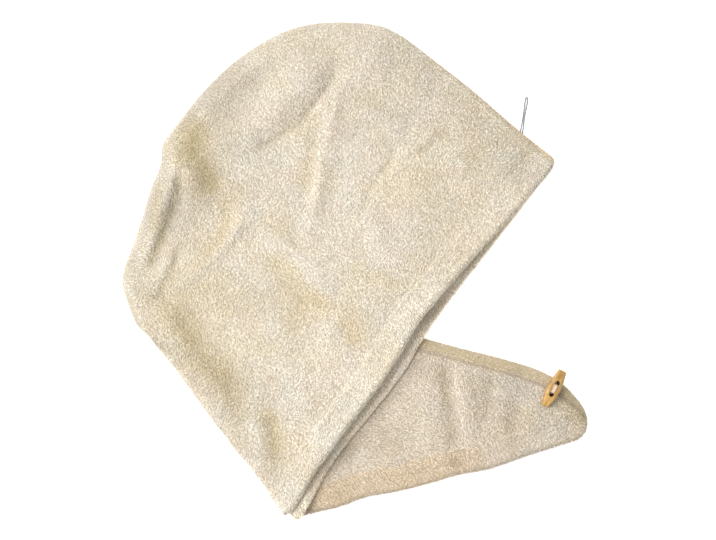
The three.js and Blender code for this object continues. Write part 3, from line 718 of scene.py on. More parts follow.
# One face: heights inside the stack from the lower panel's outer face (0) to the upper panel's
def faceGrid(panel, part, grid, outer, thickness, height, base, roll, length, fromSide, sideways):
    distance = grid["distance"]
    band = grid["band"]
    edgeRun = cloth["edgeRun"]
    toSeam = (length - distance) * edgeRun / roll
    nearest = np.minimum(toSeam, fromSide)
    point = grid["plan"].copy()
    if not outer:
        seamInset = thickness * roll / edgeRun * np.clip(1 - toSeam / edgeRun, 0, 1)
        sideInset = thickness * np.clip(1 - fromSide / edgeRun, 0, 1)
        point = point - grid["across"] * seamInset[..., None] + sideways * sideInset[..., None]
        nearest = mix(thickness, edgeRun, np.clip(nearest / edgeRun, 0, 1))
    stage = part["stage"][:, None]
    bow = cloth["frontBow"] * ease((distance - cloth["hemWidth"]) / cloth["frontBowRun"])
    point[..., 0] -= np.where(stage == 0, bow * (1 - ease(fromSide / cloth["loftRun"])), 0.0)
    nearTip = 1 - ease(fromSide / cloth["tipRun"])
    nose = cloth["tipBow"] * np.sin(np.pi * distance / length) * nearTip
    point = point + np.where(stage == 2, nose, 0.0)[..., None] * tailAxis
    inset = 0.0 if outer else thickness
    rolled = np.clip((nearest - inset) / (edgeRun - inset), 0, 1)
    rolling = np.sqrt(1 - (1 - rolled) ** 2)
    seamHeight = height / 2 - cloth["gap"] / 2
    lip = np.clip(1 - distance / np.minimum(relief["rimRun"], band * 0.3), 0, 1)
    rim = relief["rimRound"] * thickness * (1 - np.sqrt(1 - lip ** 2))
    detail = -rim
    if outer:
        x, y = point[..., 0], point[..., 1]
        seed = seeds[panel]["relief"]
        groove = relief["groove"] * hump(distance - band, relief["grooveWidth"])
        pucker = (relief["pucker"] * softNoise(x + y, x - y, relief["puckerSize"], seed + 1)
                  * hump(distance - band, relief["puckerWidth"]))
        crease = relief["crease"] * hump(
            grid["toSeam"] - relief["creaseFrom"], relief["creaseWidth"]) * (stage == 2)
        lumps = relief["lump"] * (
            0.6 * softNoise(x, y, 0.021, seed) + 0.4 * softNoise(x, y, 0.009, seed + 2))
        bed = relief["bed"] * (1 - grid["hidden"])
        detail = rim + groove + pucker + crease + (lumps + bed) * (1 - lip)
    level = mix(seamHeight, inset, rolling) + rolling * detail
    level = np.maximum(level, 0.0002)
    if panel == "upper":
        level = height - level
    turn = part["turn"][:, None]
    radius = cloth["foldRadius"] + level
    out = np.where(stage == 1, radius * np.sin(turn), 0.0)
    bendZ = height + cloth["foldRadius"] + radius * np.cos(turn)
    z = byStage(stage, base + level, bendZ, height - level)
    flat = point + out[..., None] * foldOut
    return np.stack([-flat[..., 1], -flat[..., 0], z], axis=-1)


# Triangles and quads of a closed wall between two grids of the same size
def wallFaces(rows, columns):
    i, j = np.meshgrid(np.arange(rows - 1), np.arange(columns - 1), indexing="ij")
    a = (i * columns + j).ravel()
    half = rows * columns
    top = np.stack([a, a + columns, a + columns + 1, a + 1], axis=1)
    bottom = np.stack([a + 1, a + columns + 1, a + columns, a], axis=1) + half
    down = np.arange(rows - 1) * columns
    left = np.stack([down, down + half, down + half + columns, down + columns], axis=1)
    right = left[:, [0, 3, 2, 1]] + columns - 1
    along = np.arange(columns - 1)
    start = np.stack([along, along + 1, along + 1 + half, along + half], axis=1)
    end = start[:, [0, 3, 2, 1]] + (rows - 1) * columns
    return np.vstack([top, bottom, left, right, start, end])


# Tones of the cloth: half width in mm, more golden by, lighter by, and the places that they run
# through, in thousandths. The gold is the cloth's own; the lightness is mostly painted shade in
# valleys and painted light on ridges.
hoodTones = [
    (48.0, -0.04, 0.04, (100, 300), (280, 330), (560, 230), (800, 100)),
    (27.0, 0.04, -0.11, (240, 925), (367, 940), (440, 880), (520, 845), (641, 812), (714, 736)),
    (13.0, 0.5, -0.1, (420, 925), (465, 935), (502, 905), (520, 840), (540, 770)),
    (11.0, 0.0, -0.07, (100, 800), (167, 857), (283, 893), (341, 903), (410, 915)),
    (3.2, 0.15, -0.14, (150, 708), (205, 704), (283, 701), (349, 725), (415, 767)),
    (4.5, 0.4, -0.22, (556, 900), (607, 861), (654, 841), (707, 822), (784, 792)),
    (6.0, 0.25, -0.1, (700, 760), (731, 730), (782, 723), (826, 709)),
    (5.0, 0.28, -0.03, (600, 929), (659, 886), (704, 854)),
    (6.0, 0.25, -0.05, (550, 699), (606, 685), (667, 679), (705, 682)),
    (3.0, -0.12, 0.04, (550, 662), (613, 650), (654, 657), (727, 674)),
    (8.0, -0.25, 0.03, (553, 592), (545, 522), (545, 450), (554, 300)),
    (15.0, 0.32, -0.03, (575, 547), (586, 465), (610, 397), (588, 250)),
    (12.0, 0.3, -0.01, (592, 253), (589, 185), (609, 136)),
    (10.0, 0.22, -0.02, (656, 392), (673, 303)),
    (17.0, 0.36, -0.09, (804, 714), (802, 646), (833, 563), (857, 467), (858, 395), (862, 300)),
    (7.0, 0.34, -0.06, (865, 260), (874, 202), (912, 148), (956, 124)),
    (8.0, 0.15, -0.05, (842, 440), (901, 322), (931, 264)),
    (7.0, -0.15, 0.03, (895, 257), (940, 197), (975, 139)),
    (13.0, -0.22, 0.03, (750, 252), (798, 181), (811, 147)),
    (5.0, 0.12, -0.06, (96, 332), (148, 341), (189, 356)),
    (4.0, 0.14, -0.05, (206, 423), (249, 406), (305, 412), (362, 382)),
    (12.0, -0.04, -0.07, (38, 618), (72, 576), (101, 561)),
    (16.0, 0.16, -0.03, (100, 240), (130, 170)),
    (16.0, 0.14, -0.03, (160, 300), (218, 297), (254, 231), (304, 179)),
    (8.0, 0.22, -0.02, (452, 153), (460, 202), (479, 310)),
    (4.0, 0.12, -0.06, (175, 668), (231, 620)),
    (3.2, -0.12, 0.04, (150, 675), (222, 641), (276, 624), (372, 552), (481, 467)),
    (5.0, 0.12, -0.03, (293, 655), (368, 592), (433, 539)),
    (13.0, 0.2, -0.04, (481, 715), (525, 727), (557, 736)),
    (8.0, -0.14, 0.02, (378, 372), (404, 281), (424, 204)),
    (13.0, -0.06, 0.03, (200, 760), (295, 785), (415, 825)),
    (20.0, 0.2, -0.03, (700, 620), (760, 520)),
]
# The tail's tones: painted shade in its valleys, painted light on its ridges, and painted shadow
# of the hood's hem near the fold
tailTones = [
    (6.0, 0.22, -0.1, (592, 530), (566, 400), (546, 200), (532, 120)),
    (7.0, 0.3, -0.12, (535, 80), (533, 20)),
    (5.0, -0.1, 0.04, (625, 500), (600, 300), (600, 140)),
    (5.5, 0.1, -0.12, (720, 420), (690, 320), (663, 200)),
    (5.0, 0.12, -0.07, (800, 250), (752, 170), (715, 30)),
    (9.0, -0.35, -0.08, (740, 370), (800, 330), (830, 270)),
    (8.0, 0.45, -0.12, (930, 260), (965, 150), (985, 60)),
    (8.0, -0.2, -0.07, (890, 80), (930, 70)),
    # painted shadow of the hood's hem on the tail
    (9.0, 0.15, -0.08, (150, 260), (230, 240)),
    (7.0, 0.15, -0.06, (140, 20), (150, 100)),
    (10.0, 0.1, -0.05, (300, 240), (360, 200)),
    (11.0, 0.16, 0.0, (760, 200), (840, 160)),
]
bands = {
    "seam": 0.0100,         # rolled edge of the hood's seam, darkened with painted shade
    "tailSeam": 0.0115,     # smooth rolled edge of the tail's seam
    "hemDrift": 0.009,
    "tailDrift": 0.0015,
    "blur": 0.004,
    "rim": 0.0055,          # shaded lip of the hem
    "front": 0.007,
    "sharp": 0.002,         # blur of the tail's seam band
    "sewn": 0.0006,         # from that band to its sewn line
    "sewnWidth": 0.0011,
    "blushTo": 0.66,        # share of the tail at which its hem's blush ends
    "blushFade": 0.08,
    "tip": 0.020,
    "golden": 1.35,         # strength of the tones in the lists
    "lighter": 1.3,
}
# Slow drift of the tones: its middle, then amount, size of its lumps and seed of each layer
drifts = {
    "warm": (0.16, (0.13, 0.030, 0), (0.10, 0.012, 1), (0.07, 0.006, 2)),
    "light": (0.0, (0.030, 0.038, 6), (0.022, 0.019, 3), (0.020, 0.009, 4), (0.012, 0.0045, 5)),
    "flush": (0.06, (0.05, 0.028, 7)),
}


# How golden, rosy and light the cloth is: bands along hem and seam, tones, and a slow drift;
# painted shade and painted light are part of the bands and tones
def clothTones(grid, panel):
    point = grid["plan"]
    x, y = point[..., 0], point[..., 1]
    seed = seeds[panel]["tones"]
    warm, light, flush = (
        sum((amount * softNoise(x, y, size, seed + more) for amount, size, more in layers), middle)
        for middle, *layers in (drifts[tone] for tone in ("warm", "light", "flush")))
    tail = grid["stage"] == 2
    edge = grid["fromSeam"]
    seamBand = ease((bands["seam"] - edge) / bands["blur"])
    frontBand = ease((bands["front"] - grid["fromFront"]) / bands["blur"])
    tailBand = ease((bands["tailSeam"] - grid["toSeam"]) / bands["sharp"])
    tailCrease = hump(grid["toSeam"] - bands["tailSeam"] - bands["sewn"], bands["sewnWidth"])
    rim = 1 - ease(grid["distance"] / bands["rim"])
    drift = np.where(tail, bands["tailDrift"], bands["hemDrift"])
    hemBand = ease((grid["band"] * 1.05 - grid["distance"]) / drift)
    alongTail = dot(point - foldHem("lower"), tailAxis) / cloth["tailLength"]
    warm += np.where(tail, 0.55 * tailBand + 0.30 * tailCrease, 0.62 * frontBand - 0.10 * seamBand)
    banded = hemBand * ease((bands["blushTo"] - alongTail) / bands["blushFade"])
    flush = (flush + 0.40 * frontBand * ~tail
             + np.where(tail, 0.20 + 0.22 * banded + 0.55 * tailCrease, 0.0))
    warm += np.where(tail, 0.42 * banded, -0.05 * hemBand) + 0.15 * rim
    # Painted shade on the upper hem's lip, along the hood's rolled seam and on the tail's hem lip,
    # seam and tip; painted light on the lower hem, which lies in the upper hem's shadow. The
    # tail's sewn line is darker for its own reddish colour and for painted shade in its crease.
    tip = tail * (1 - ease(edge / bands["tip"]))
    hemShadeAndLight = -0.32 * rim if panel == "upper" else 0.16 * hemBand
    light += np.where(tail, -0.02 - 0.22 * tailCrease - 0.26 * rim + 0.04 * tailBand - 0.08 * tip,
                      0.10 * hemBand - 0.10 * seamBand + 0.02 * frontBand + hemShadeAndLight)
    # The tones' lightness paints shade and light onto the folds and creases
    for tones, place, where in ((hoodTones, hoodPlace, ~tail), (tailTones, tailPlace, tail)):
        for width, golden, lighter, *spots in tones:
            share = where * pathShare(point, planPlaces(place, spots), width / 1000)
            warm = warm + bands["golden"] * golden * share
            light = light + bands["lighter"] * lighter * share
    return np.clip(warm, 0.0, 1.0), np.clip(flush, 0.0, 1.0), 1.0 + light


def makePanel(panel, grid, shift):
    rows, columns = grid["outer"].shape[:2]
    for face in ("outer", "inner"):
        grid[face] = grid[face] + (*shift, 0.0)
    vertices = np.concatenate([grid["outer"].reshape(-1, 3), grid["inner"].reshape(-1, 3)])
    faces = wallFaces(rows, columns)
    if panel == "upper":
        faces = faces[:, ::-1]
    grid["warm"], grid["flush"], grid["light"] = clothTones(grid, panel)
    piece = makePiece(f"cloth_{panel}", vertices, faces, groundMaterial)
    warm, flush, light = (np.tile(grid[tone].ravel(), 2) for tone in ("warm", "flush", "light"))
    # The ground cloth carries painted shade between the strands, tinted golden
    setAttribute(piece, "warm", np.clip(warm + terryFinish["groundShadeGold"], 0, 1))
    setAttribute(piece, "flush", flush)
    setAttribute(piece, "shade", light * terryFinish["groundShade"])
    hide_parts(f"panel_{panel}")
    return piece


# Evens out the cloth where the fold's end meets the seam, over a few sections on each side
def settleFold(grid, setup):
    rows, columns = grid["outer"].shape[:2]
    turned = int(np.argmax(grid["stage"][:, 0] == 1))
    near = hump(np.arange(rows) - turned - 1, setup["sections"])[:, None]
    near = near * ease((np.linspace(0, 1, columns) - setup["from"]) / (1 - setup["from"]))[None]
    for face in ("outer", "inner"):
        for turn in range(setup["turns"]):
            surface = grid[face]
            mean = surface.copy()
            mean[1:-1] = (surface[:-2] + surface[2:]) / 2
            grid[face] = surface + setup["strength"] * near[..., None] * (mean - surface)


foldSettle = {"sections": 7.0, "from": 0.45, "turns": 36, "strength": 0.8}
grids = {panel: panelGrid(panel) for panel in ("upper", "lower")}
for grid in grids.values():
    settleFold(grid, foldSettle)
faces = [grid[face].reshape(-1, 3) for grid in grids.values() for face in ("outer", "inner")]
bothFaces = np.concatenate(faces)
cadLow = np.min([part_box(f"panel_{panel}")[0][:2] for panel in grids], axis=0)
cadHigh = np.max([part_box(f"panel_{panel}")[1][:2] for panel in grids], axis=0)
ownMiddle = (bothFaces[:, :2].min(axis=0) + bothFaces[:, :2].max(axis=0)) / 2
shift = (cadLow + cadHigh) / 2 - ownMiddle
panels = {panel: makePanel(panel, grids[panel], shift) for panel in grids}
print("panels made")


# Pile: closed strands of four faces that lean along the cloth, set cell by cell
pile = {
    "length": 0.0029,
    "lengthSpread": 0.30,
    "halfWidth": 0.00027,
    "rise": 0.0010,         # of a strand's middle over its root
    "root": 0.0004,         # how deep the root sits in the ground cloth
    "top": 1.14,            # strands to a square millimetre where the photo shows the cloth
    "under": 0.34,          # on the undersides
    "edge": 0.8,            # near the undersides' edges
    "bare": 0.35,           # share left on the tail's smooth seam band
    "mouth": 0.006,         # how far the pile shows inside the hem
    "mouthFade": 0.004,
    "edgeRun": 0.012,
    "sewn": 0.0013,         # half width of the sewn line without strands
    "seamRun": 0.016,       # near the seam the strands lie towards it
    "hemRun": 0.009,
    "seamTrim": 0.45,       # how much shorter the strands are there
    "hemTrim": 0.15,
    "riseSpread": (0.5, 1.3),
    "widthSpread": (0.7, 1.25),
    "tipSpread": (0.35, 1.15),
    "clump": 0.0042,        # distance between clumps
    "clumpPull": 0.12,
    "clumpSeed": 3,
    "brush": (-0.9, -0.9, 0.4),     # radians from straight to the hem, on hood, fold and tail
    "swirl": 0.7,           # radians that the direction strays
    "swirlSizes": (0.026, 0.009),
    "stray": 0.55,          # and each strand by itself
    "tint": 0.13,           # how much the strands differ in lightness
    "goldSpread": 0.05,     # and in gold
    # painted shade and painted light at foot, left, right and tip (dark root, light tip), and the
    # gold added to them
    "shades": (0.57, 0.96, 0.96, 1.07),
    "rootShadeGold": (0.50, 0.03, 0.03, -0.05),
    "pieceLimit": 45000,    # strands in one piece
}


def cellNormals(grid, face):
    along = np.gradient(grid[face], axis=0)
    across = np.gradient(grid[face], axis=1)
    normal = unit(np.cross(along, across))
    away = grid[face] - grid["inner" if face == "outer" else "outer"]
    return normal * np.sign(dot(normal, away))[..., None]


# Strands to a square millimetre on each cell
def cellDensity(grid, panel, face, setup):
    stage, distance, fromSeam, toSeam, hidden = (
        grid[key][:-1, :-1] for key in ("stage", "distance", "fromSeam", "toSeam", "hidden"))
    if face == "inner":
        reach = setup["mouth"] + grid["behind"][:-1]
        return setup["top"] * ease((reach - distance) / setup["mouthFade"]) * (stage != 1)
    faceUp = stage == (0 if panel == "upper" else 2)
    density = np.where(faceUp | (stage == 1), setup["top"], setup["under"])
    nearEdge = np.minimum(fromSeam, distance) < setup["edgeRun"]
    density = np.where(nearEdge, np.maximum(density, setup["edge"]), density)
    smooth = (stage == 2) * ease((bands["tailSeam"] - toSeam) / bands["sharp"])
    sewn = hump(toSeam - bands["tailSeam"] - bands["sewn"], setup["sewn"]) * (stage == 2)
    return density * (hidden < 0.7) * mix(1.0, setup["bare"], smooth) * (1 - sewn)


# A value of the grid between its points
def between(values, row, column):
    i = row.astype(int)
    j = column.astype(int)
    a = row - i
    b = column - j
    if values.ndim == 3:
        a = a[:, None]
        b = b[:, None]
    return bilinear(lambda k, l: values[i + k, j + l], a, b)


def strandsOn(grid, panel, face, setup, rng):
    surface = grid[face]
    side = surface[1:, :-1] - surface[:-1, :-1]
    across = surface[:-1, 1:] - surface[:-1, :-1]
    area = np.linalg.norm(np.cross(side, across), axis=-1) * 1e6
    density = cellDensity(grid, panel, face, setup)
    count = np.floor(area * density + rng.random(area.shape)).astype(int).ravel()
    cells = np.repeat(np.arange(count.size), count)
    turn = np.arange(len(cells)) - np.repeat(np.cumsum(count) - count, count)
    start = rng.random((2, count.size))[:, cells]
    width = area.shape[1]
    row = cells // width + (start[0] + 0.75488 * turn) % 1      # spread evenly over each cell
    column = cells % width + (start[1] + 0.56984 * turn) % 1
    root = between(surface, row, column)
    up = unit(between(cellNormals(grid, face), row, column))
    towardsHem = between(np.gradient(-surface, axis=1), row, column)
    towardsHem = unit(towardsHem - up * dot(towardsHem, up)[:, None])
    sideways = np.cross(up, towardsHem)
    seed = seeds[panel]["swirl"]
    x, y = root[:, 0], root[:, 1]
    wide, fine = (softNoise(x, y, size, seed + k) for k, size in enumerate(setup["swirlSizes"]))
    swirl = setup["swirl"] * (wide + 0.5 * fine)
    brush = np.array(setup["brush"])[grid["stage"].ravel()[cells]]
    swirl = swirl + brush + rng.normal(0, setup["stray"], len(x))
    seamNear = ease(1 - between(grid["fromSeam"], row, column) / setup["seamRun"])
    hemNear = ease(1 - between(grid["distance"], row, column) / setup["hemRun"])
    swirl = swirl * (1 - 0.6 * hemNear) + seamNear * (1 - hemNear) * np.pi
    lean = towardsHem * np.cos(swirl)[:, None] + sideways * np.sin(swirl)[:, None]
    return {"root": root, "up": up, "lean": lean, "row": row, "column": column,
            "seamNear": seamNear, "hemNear": hemNear}


def clumpTargets(root, setup):
    size = setup["clump"]
    jitter = np.random.default_rng(setup["clumpSeed"]).uniform(-0.4, 0.4, (128, 128, 2))
    cell = np.floor(root[:, :2] / size).astype(int)
    return (cell + 0.5 + jitter[cell[:, 0] % 128, cell[:, 1] % 128]) * size


# Corners of a strand: foot, left, right, tip
strandFaces = np.array([(0, 2, 1), (2, 3, 1), (0, 1, 3), (0, 3, 2)])


def strandMesh(strands, grid, setup, rng):
    root, up, lean = strands["root"], strands["up"], strands["lean"]
    amount = len(root)
    trim = 1 - np.maximum(
        setup["seamTrim"] * strands["seamNear"], setup["hemTrim"] * strands["hemNear"])
    long = setup["length"] * trim * (1 + setup["lengthSpread"] * rng.uniform(-1, 1, amount))
    rise = setup["rise"] * trim * rng.uniform(*setup["riseSpread"], amount)
    width = setup["halfWidth"] * rng.uniform(*setup["widthSpread"], amount)
    foot = root - up * setup["root"]
    tipRise = rise * rng.uniform(*setup["tipSpread"], amount)
    tip = root + lean * long[:, None] + up * tipRise[:, None]
    target = clumpTargets(root, setup)
    pull = np.zeros((amount, 3))
    pull[:, :2] = target + lean[:, :2] * setup["length"] * 0.6 - tip[:, :2]
    pull = pull - up * dot(pull, up)[:, None]
    tip = tip + setup["clumpPull"] * pull * trim[:, None]
    ahead = unit(tip - foot)
    side = unit(np.cross(up, ahead))
    middle = mix(foot, tip, 0.45) + up * (0.75 * rise)[:, None]
    half = side * width[:, None]
    vertices = np.stack([foot, middle + half, middle - half, tip], axis=1).reshape(-1, 3)
    vertices[:, 2] = np.maximum(vertices[:, 2], 0.0002)
    warm, flush, light = (between(grid[tone], strands["row"], strands["column"])
                          for tone in ("warm", "flush", "light"))
    warm = warm + rng.normal(0, setup["goldSpread"], amount)
    light = light * (1 + rng.normal(0, setup["tint"], amount))
    # Painted shade at each strand's root and painted light at its tip, the root tinted golden
    warm = np.clip(warm[:, None] + np.array(setup["rootShadeGold"]), 0, 1)
    shade = light[:, None] * np.array(setup["shades"])
    return vertices, {"warm": warm.ravel(), "flush": np.repeat(flush, 4), "shade": shade.ravel()}


def makePile(panel, grid, setup):
    rng = np.random.default_rng(seeds[panel]["strands"])
    sides = [strandsOn(grid, panel, face, setup, rng) for face in ("outer", "inner")]
    strands = {key: np.concatenate([side[key] for side in sides]) for key in sides[0]}
    vertices, tones = strandMesh(strands, grid, setup, rng)
    amount = len(strands["root"])
    order = np.argsort(strands["row"], kind="stable")
    pieces = []
    parts = math.ceil(amount / setup["pieceLimit"])
    for number, chosen in enumerate(np.array_split(order, parts)):
        corners = (chosen[:, None] * 4 + np.arange(4)).ravel()
        faces = (np.arange(len(chosen))[:, None, None] * 4 + strandFaces).reshape(-1, 3)
        piece = makePiece(f"pile_{panel}_{number + 1}", vertices[corners], faces, pileMaterial,
                          smooth=False)
        for tone, values in tones.items():
            setAttribute(piece, tone, values[corners])
        pieces.append(piece)
    print("pile", panel, amount, "strands in", parts, "pieces")
    return pieces


for panel, grid in grids.items():
    pieces = makePile(panel, grid, pile)
print("pile made")

# Wooden toggle: a rounded block, shaped ring by ring along its length, with two holes
toggle = {
    "turn": 100.3,          # degrees from +X to its upper end
    "roll": 8.0,            # degrees that it leans over on its thread
    "length": 0.0348,
    "shift": -0.0014,       # along the row's Y from the part's own, as the photo has it
    "width": 0.0122,
    "thickness": 0.0068,
    "round": 0.0028,
    "cuts": 15,
    # from the lower end to the upper: place, share of the width, share of the thickness
    "rings": ((-1.0, 0.47, 0.56), (-0.8, 0.64, 0.74), (-0.55, 0.83, 0.90), (-0.25, 0.97, 1.0),
              (0.0, 1.0, 1.0), (0.3, 0.97, 1.0), (0.6, 0.84, 0.90), (0.8, 0.73, 0.78),
              (1.0, 0.61, 0.62)),
    "hole": 0.0046,
    "holeFoot": 0.0024,     # narrower at the foot, where the thread fills it
    "holeSpacing": 0.0110,
    "holeSides": 28,
    "bevel": 0.0004,
    "inset": 0.0009,        # of its flat ends
    "insetDepth": 0.0003,
    "gold": (0.56, 0.345, 0.105, 1.0),
    "brown": (0.36, 0.195, 0.055, 1.0),
    "fleck": (0.16, 0.070, 0.022, 1.0),
    # painted shade inside the holes
    "holeShadeColour": (0.055, 0.022, 0.010, 1.0),
}
thread = {
    "strands": 4,
    "radius": 0.00040,
    "spread": 0.00062,      # between strands
    # along the toggle, up: half of the way that a strand takes, in metres
    "route": ((0.0, 0.00375), (0.0018, 0.00370), (0.0030, 0.00345), (0.0037, 0.00260),
              (0.0043, 0.00060), (0.0053, -0.00330)),
    "cream": (0.78, 0.67, 0.60, 1.0),
    "pink": (0.58, 0.43, 0.37, 1.0),
    "bar": 0.003,           # over this height the strands lie on the toggle
    "narrow": 0.7,          # and below it they draw together in the holes
    "seed": 14,
    "lift": 0.00015,        # how much the strands differ in height
    "stray": 0.00010,       # and each point sideways
}


# Selects these objects alone, the first of them active
def selectOnly(*pieces):
    bpy.ops.object.select_all(action="DESELECT")
    for piece in pieces:
        piece.select_set(True)
    if pieces:
        bpy.context.view_layer.objects.active = pieces[0]


# Selects the vertices, edges or faces in edit mode whose middle passes the test
def choose(piece, kind, test):
    bpy.ops.mesh.select_mode(type={"verts": "VERT", "edges": "EDGE", "faces": "FACE"}[kind])
    bpy.ops.mesh.select_all(action="DESELECT")
    shape = bmesh.from_edit_mesh(piece.data)
    for element in getattr(shape, kind):
        corners = [element] if kind == "verts" else element.verts
        middle = sum((corner.co for corner in corners), corners[0].co * 0) / len(corners)
        if test(middle):
            element.select_set(True)
    bmesh.update_edit_mesh(piece.data)


def applyModifier(piece, kind, **settings):
    modifier = piece.modifiers.new(kind.lower(), kind)
    for key, value in settings.items():
        setattr(modifier, key, value)
    bpy.context.view_layer.objects.active = piece
    bpy.ops.object.modifier_apply(modifier=modifier.name)


# Gives a fitting its materials, and keeps each point's place from before the piece is turned
def dress(piece, *materials):
    piece.data.materials.clear()
    for material in materials:
        piece.data.materials.append(material)
    places = [vertex.co for vertex in piece.data.vertices]
    setAttribute(piece, "grain", places, "FLOAT_VECTOR", "vector")


# Turns a finished piece into place from its own axes: its length along Z and its top towards Y
def placeOnTail(piece, setup):
    low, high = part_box("toggle_button")
    along = math.radians(setup["turn"])
    selectOnly(piece)
    piece.rotation_mode = "QUATERNION"
    lay = Quaternion((1, 0, 0), -math.pi / 2) @ Quaternion((0, 0, 1), math.pi)
    roll = Quaternion((0, 1, 0), math.radians(setup["roll"]))
    turn = Quaternion((0, 0, 1), along - math.pi / 2)
    piece.rotation_quaternion = turn @ roll @ lay
    piece.location = (low + high) / 2
    piece.location.y += setup["shift"]
    bpy.ops.object.transform_apply(location=True, rotation=True, scale=True)


def makeToggle(setup):
    half = setup["length"] / 2
    near = 1e-5
    selectOnly()
    bpy.ops.mesh.primitive_cube_add(size=1.0, location=(0, 0, 0))
    button = bpy.context.object
    button.name = "toggle_wood"
    button.dimensions = (setup["width"], setup["thickness"], setup["length"])
    bpy.ops.object.transform_apply(location=False, rotation=False, scale=True)
    bpy.ops.object.mode_set(mode="EDIT")
    choose(button, "edges", lambda middle: abs(middle.z) < near)
    bpy.ops.mesh.bevel(offset=setup["round"], segments=6, affect="EDGES")
    choose(button, "edges", lambda middle: abs(middle.z) < near)
    bpy.ops.mesh.subdivide(number_cuts=setup["cuts"])
    places, wide, thick = zip(*setup["rings"])
    for height in np.linspace(-half, half, setup["cuts"] + 2):
        choose(button, "verts", lambda middle: abs(middle.z - height) < near)
        width, thickness = (np.interp(height / half, places, shares) for shares in (wide, thick))
        bpy.ops.transform.resize(value=(width, thickness, 1), center_override=(0, 0, height))
    choose(button, "faces", lambda middle: abs(abs(middle.z) - half) < near)
    bpy.ops.mesh.inset(thickness=setup["inset"], depth=setup["insetDepth"])
    bpy.ops.object.mode_set(mode="OBJECT")
    cutters = []
    for side in (-1, 1):
        bpy.ops.mesh.primitive_cone_add(
            vertices=setup["holeSides"], radius1=setup["hole"] / 2, radius2=setup["holeFoot"] / 2,
            depth=setup["thickness"] * 1.04,
            location=(0, 0, side * setup["holeSpacing"] / 2), rotation=(math.pi / 2, 0, 0))
        cutters.append(bpy.context.object)
    for cutter in cutters:
        applyModifier(button, "BOOLEAN", object=cutter, operation="DIFFERENCE", solver="EXACT")
        bpy.data.objects.remove(cutter)
    applyModifier(button, "BEVEL", width=setup["bevel"], segments=2, limit_method="ANGLE",
                  angle_limit=math.radians(38))
    selectOnly(button)
    bpy.ops.object.shade_smooth_by_angle(angle=math.radians(35))
    dress(button, woodMaterial(setup), holeMaterial(setup))
    # The hole walls take the painted shade
    for face in button.data.polygons:
        middle = face.center
        reach = math.hypot(middle.x, abs(middle.z) - setup["holeSpacing"] / 2)
        face.material_index = int(reach < setup["hole"] / 2 + 0.00008 and abs(face.normal.y) < 0.3)
    placeOnTail(button, setup)
    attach(button, "root")
    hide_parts("toggle_button")


# Wood with its grain along the toggle, from the place that each point had before it was turned
def woodMaterial(setup):
    nodes = Nodes("toggleWood")
    where = nodes.attribute("grain", "Vector")
    streaks = nodes.noise(where, 900.0, 4.0, 0.6, stretch=(1.0, 1.0, 0.10))
    wood = nodes.ramp(streaks, setup["brown"], setup["gold"], 0.36, 0.62)
    clouds = nodes.ramp(nodes.noise(where, 130.0, 2.0),
                        (0.78, 0.76, 0.72, 1), (1.15, 1.12, 1.05, 1), 0.35, 0.65)
    wood = nodes.blend(1.0, wood, clouds, "MULTIPLY")
    flecks = nodes.ramp(nodes.noise(where, 2600.0, 2.0, 0.5, stretch=(1.0, 1.0, 0.07)),
                        white, black, 0.26, 0.36)
    wood = nodes.blend(flecks, wood, setup["fleck"])
    nodes.surface(wood, {"Roughness": 0.42, "Coat Weight": 0.2, "Coat Roughness": 0.3})
    nodes.bump(streaks, 0.35, 0.0002)
    return nodes.material


# Painted shade on the walls of the holes: near-black brown where light hardly reaches
def holeMaterial(setup):
    nodes = Nodes("paintedHoleShade")
    where = nodes.attribute("grain", "Vector")
    holeShade = nodes.ramp(nodes.noise(where, 700.0, 3.0), setup["holeShadeColour"], setup["fleck"], 0.4, 0.8)
    nodes.surface(holeShade, {"Roughness": 0.85, "Specular IOR Level": 0.1})
    return nodes.material


def makeThread(setup, button):
    rng = np.random.default_rng(setup["seed"])
    half = np.array(setup["route"])
    route = np.vstack([half[:0:-1] * (-1, 1), half])
    strands = []
    for number in range(setup["strands"]):
        side = (number - (setup["strands"] - 1) / 2) * setup["spread"]
        selectOnly()
        bpy.ops.curve.primitive_nurbs_path_add(location=(0, 0, 0))
        strand = bpy.context.object
        points = strand.data.splines[0].points
        points.add(len(route) - len(points))
        lift = rng.uniform(-setup["lift"], setup["lift"])
        for point, (along, up) in zip(points, route):
            inHole = up < setup["bar"]
            narrow = mix(setup["narrow"], 1.0, min(1.0, abs(up) / 0.0035)) if inHole else 1.0
            sideways = side * narrow + rng.uniform(-setup["stray"], setup["stray"])
            point.co = (sideways, up + lift, along, 1.0)
        strand.data.resolution_u = 6
        strand.data.bevel_depth = setup["radius"]
        strand.data.bevel_resolution = 3
        strand.data.use_fill_caps = True
        bpy.ops.object.convert(target="MESH")
        strands.append(bpy.context.object)
    selectOnly(*strands)
    bpy.ops.object.join()
    sewn = bpy.context.object
    sewn.name = "toggle_thread_strands"
    bpy.ops.object.shade_smooth()
    dress(sewn, threadMaterial(setup))
    placeOnTail(sewn, button)
    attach(sewn, "root")
    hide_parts("toggle_thread")


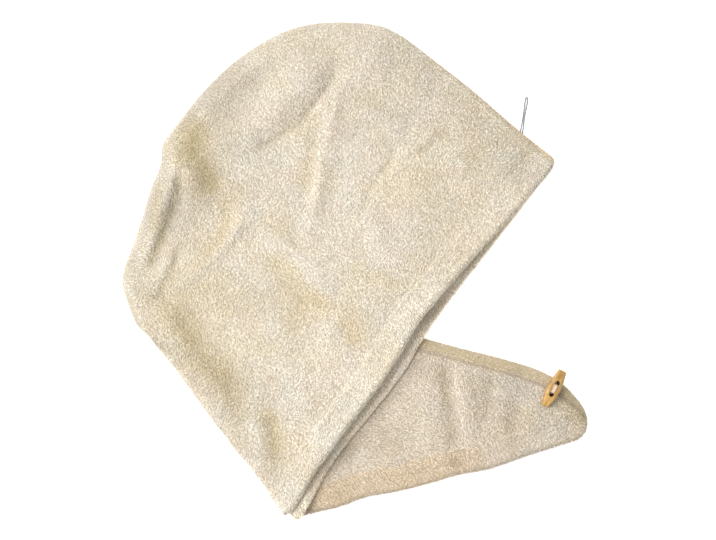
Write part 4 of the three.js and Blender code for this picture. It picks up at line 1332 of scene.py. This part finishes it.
# Twisted cotton: slanting plies
def threadMaterial(setup):
    nodes = Nodes("cottonThread")
    where = nodes.attribute("grain", "Vector")
    slant = nodes.add("ShaderNodeMapping", {"Rotation": (0.0, 0.7, 0.0)})
    nodes.join(where, slant.inputs["Vector"])
    plies = nodes.add("ShaderNodeTexWave", {"Scale": 420.0, "Distortion": 0.6, "Detail": 1.0})
    nodes.join(slant.outputs["Vector"], plies.inputs["Vector"])
    colour = nodes.ramp(plies.outputs["Fac"], setup["pink"], setup["cream"], 0.15, 0.6)
    nodes.surface(colour, {"Roughness": 0.85, "Sheen Weight": 0.2})
    nodes.bump(plies.outputs["Fac"], 0.6, 0.00015)
    return nodes.material


makeToggle(toggle)
makeThread(thread, toggle)
print("toggle and thread made")

# Floor and light
studio = {
    "floorSize": 6.0,
    "floorColour": (0.93, 0.93, 0.93, 1.0),
    "floorGlow": 0.60,
    "world": 0.715,
    "key": 28.5,
    "keySize": 1.1,
    "keyFrom": (-0.90, -0.26, 1.18),
}


def makeStudio(setup):
    bpy.ops.mesh.primitive_plane_add(size=setup["floorSize"], location=(0, 0, 0))
    floor = bpy.context.object
    floor.name = "floor"
    nodes = Nodes("paleFloor")
    nodes.surface(None, {
        "Base Color": setup["floorColour"], "Roughness": 0.9,
        "Emission Color": white, "Emission Strength": setup["floorGlow"]})
    floor.data.materials.append(nodes.material)
    world = bpy.data.worlds.new("softRoom")
    world.use_nodes = True
    background = world.node_tree.nodes["Background"]
    background.inputs["Color"].default_value = white
    background.inputs["Strength"].default_value = setup["world"]
    bpy.context.scene.world = world
    x, y, z = setup["keyFrom"]
    aim = math.atan2(math.hypot(x, y), z)
    bpy.ops.object.light_add(type="AREA", location=(x, y, z),
                             rotation=(aim, 0, math.atan2(y, x) + math.pi / 2))
    key = bpy.context.object
    key.name = "key_light"
    key.data.energy = setup["key"]
    key.data.shape = "DISK"
    key.data.size = setup["keySize"]


makeStudio(studio)
bpy.context.scene.view_settings.view_transform = "Standard"
print("studio made")
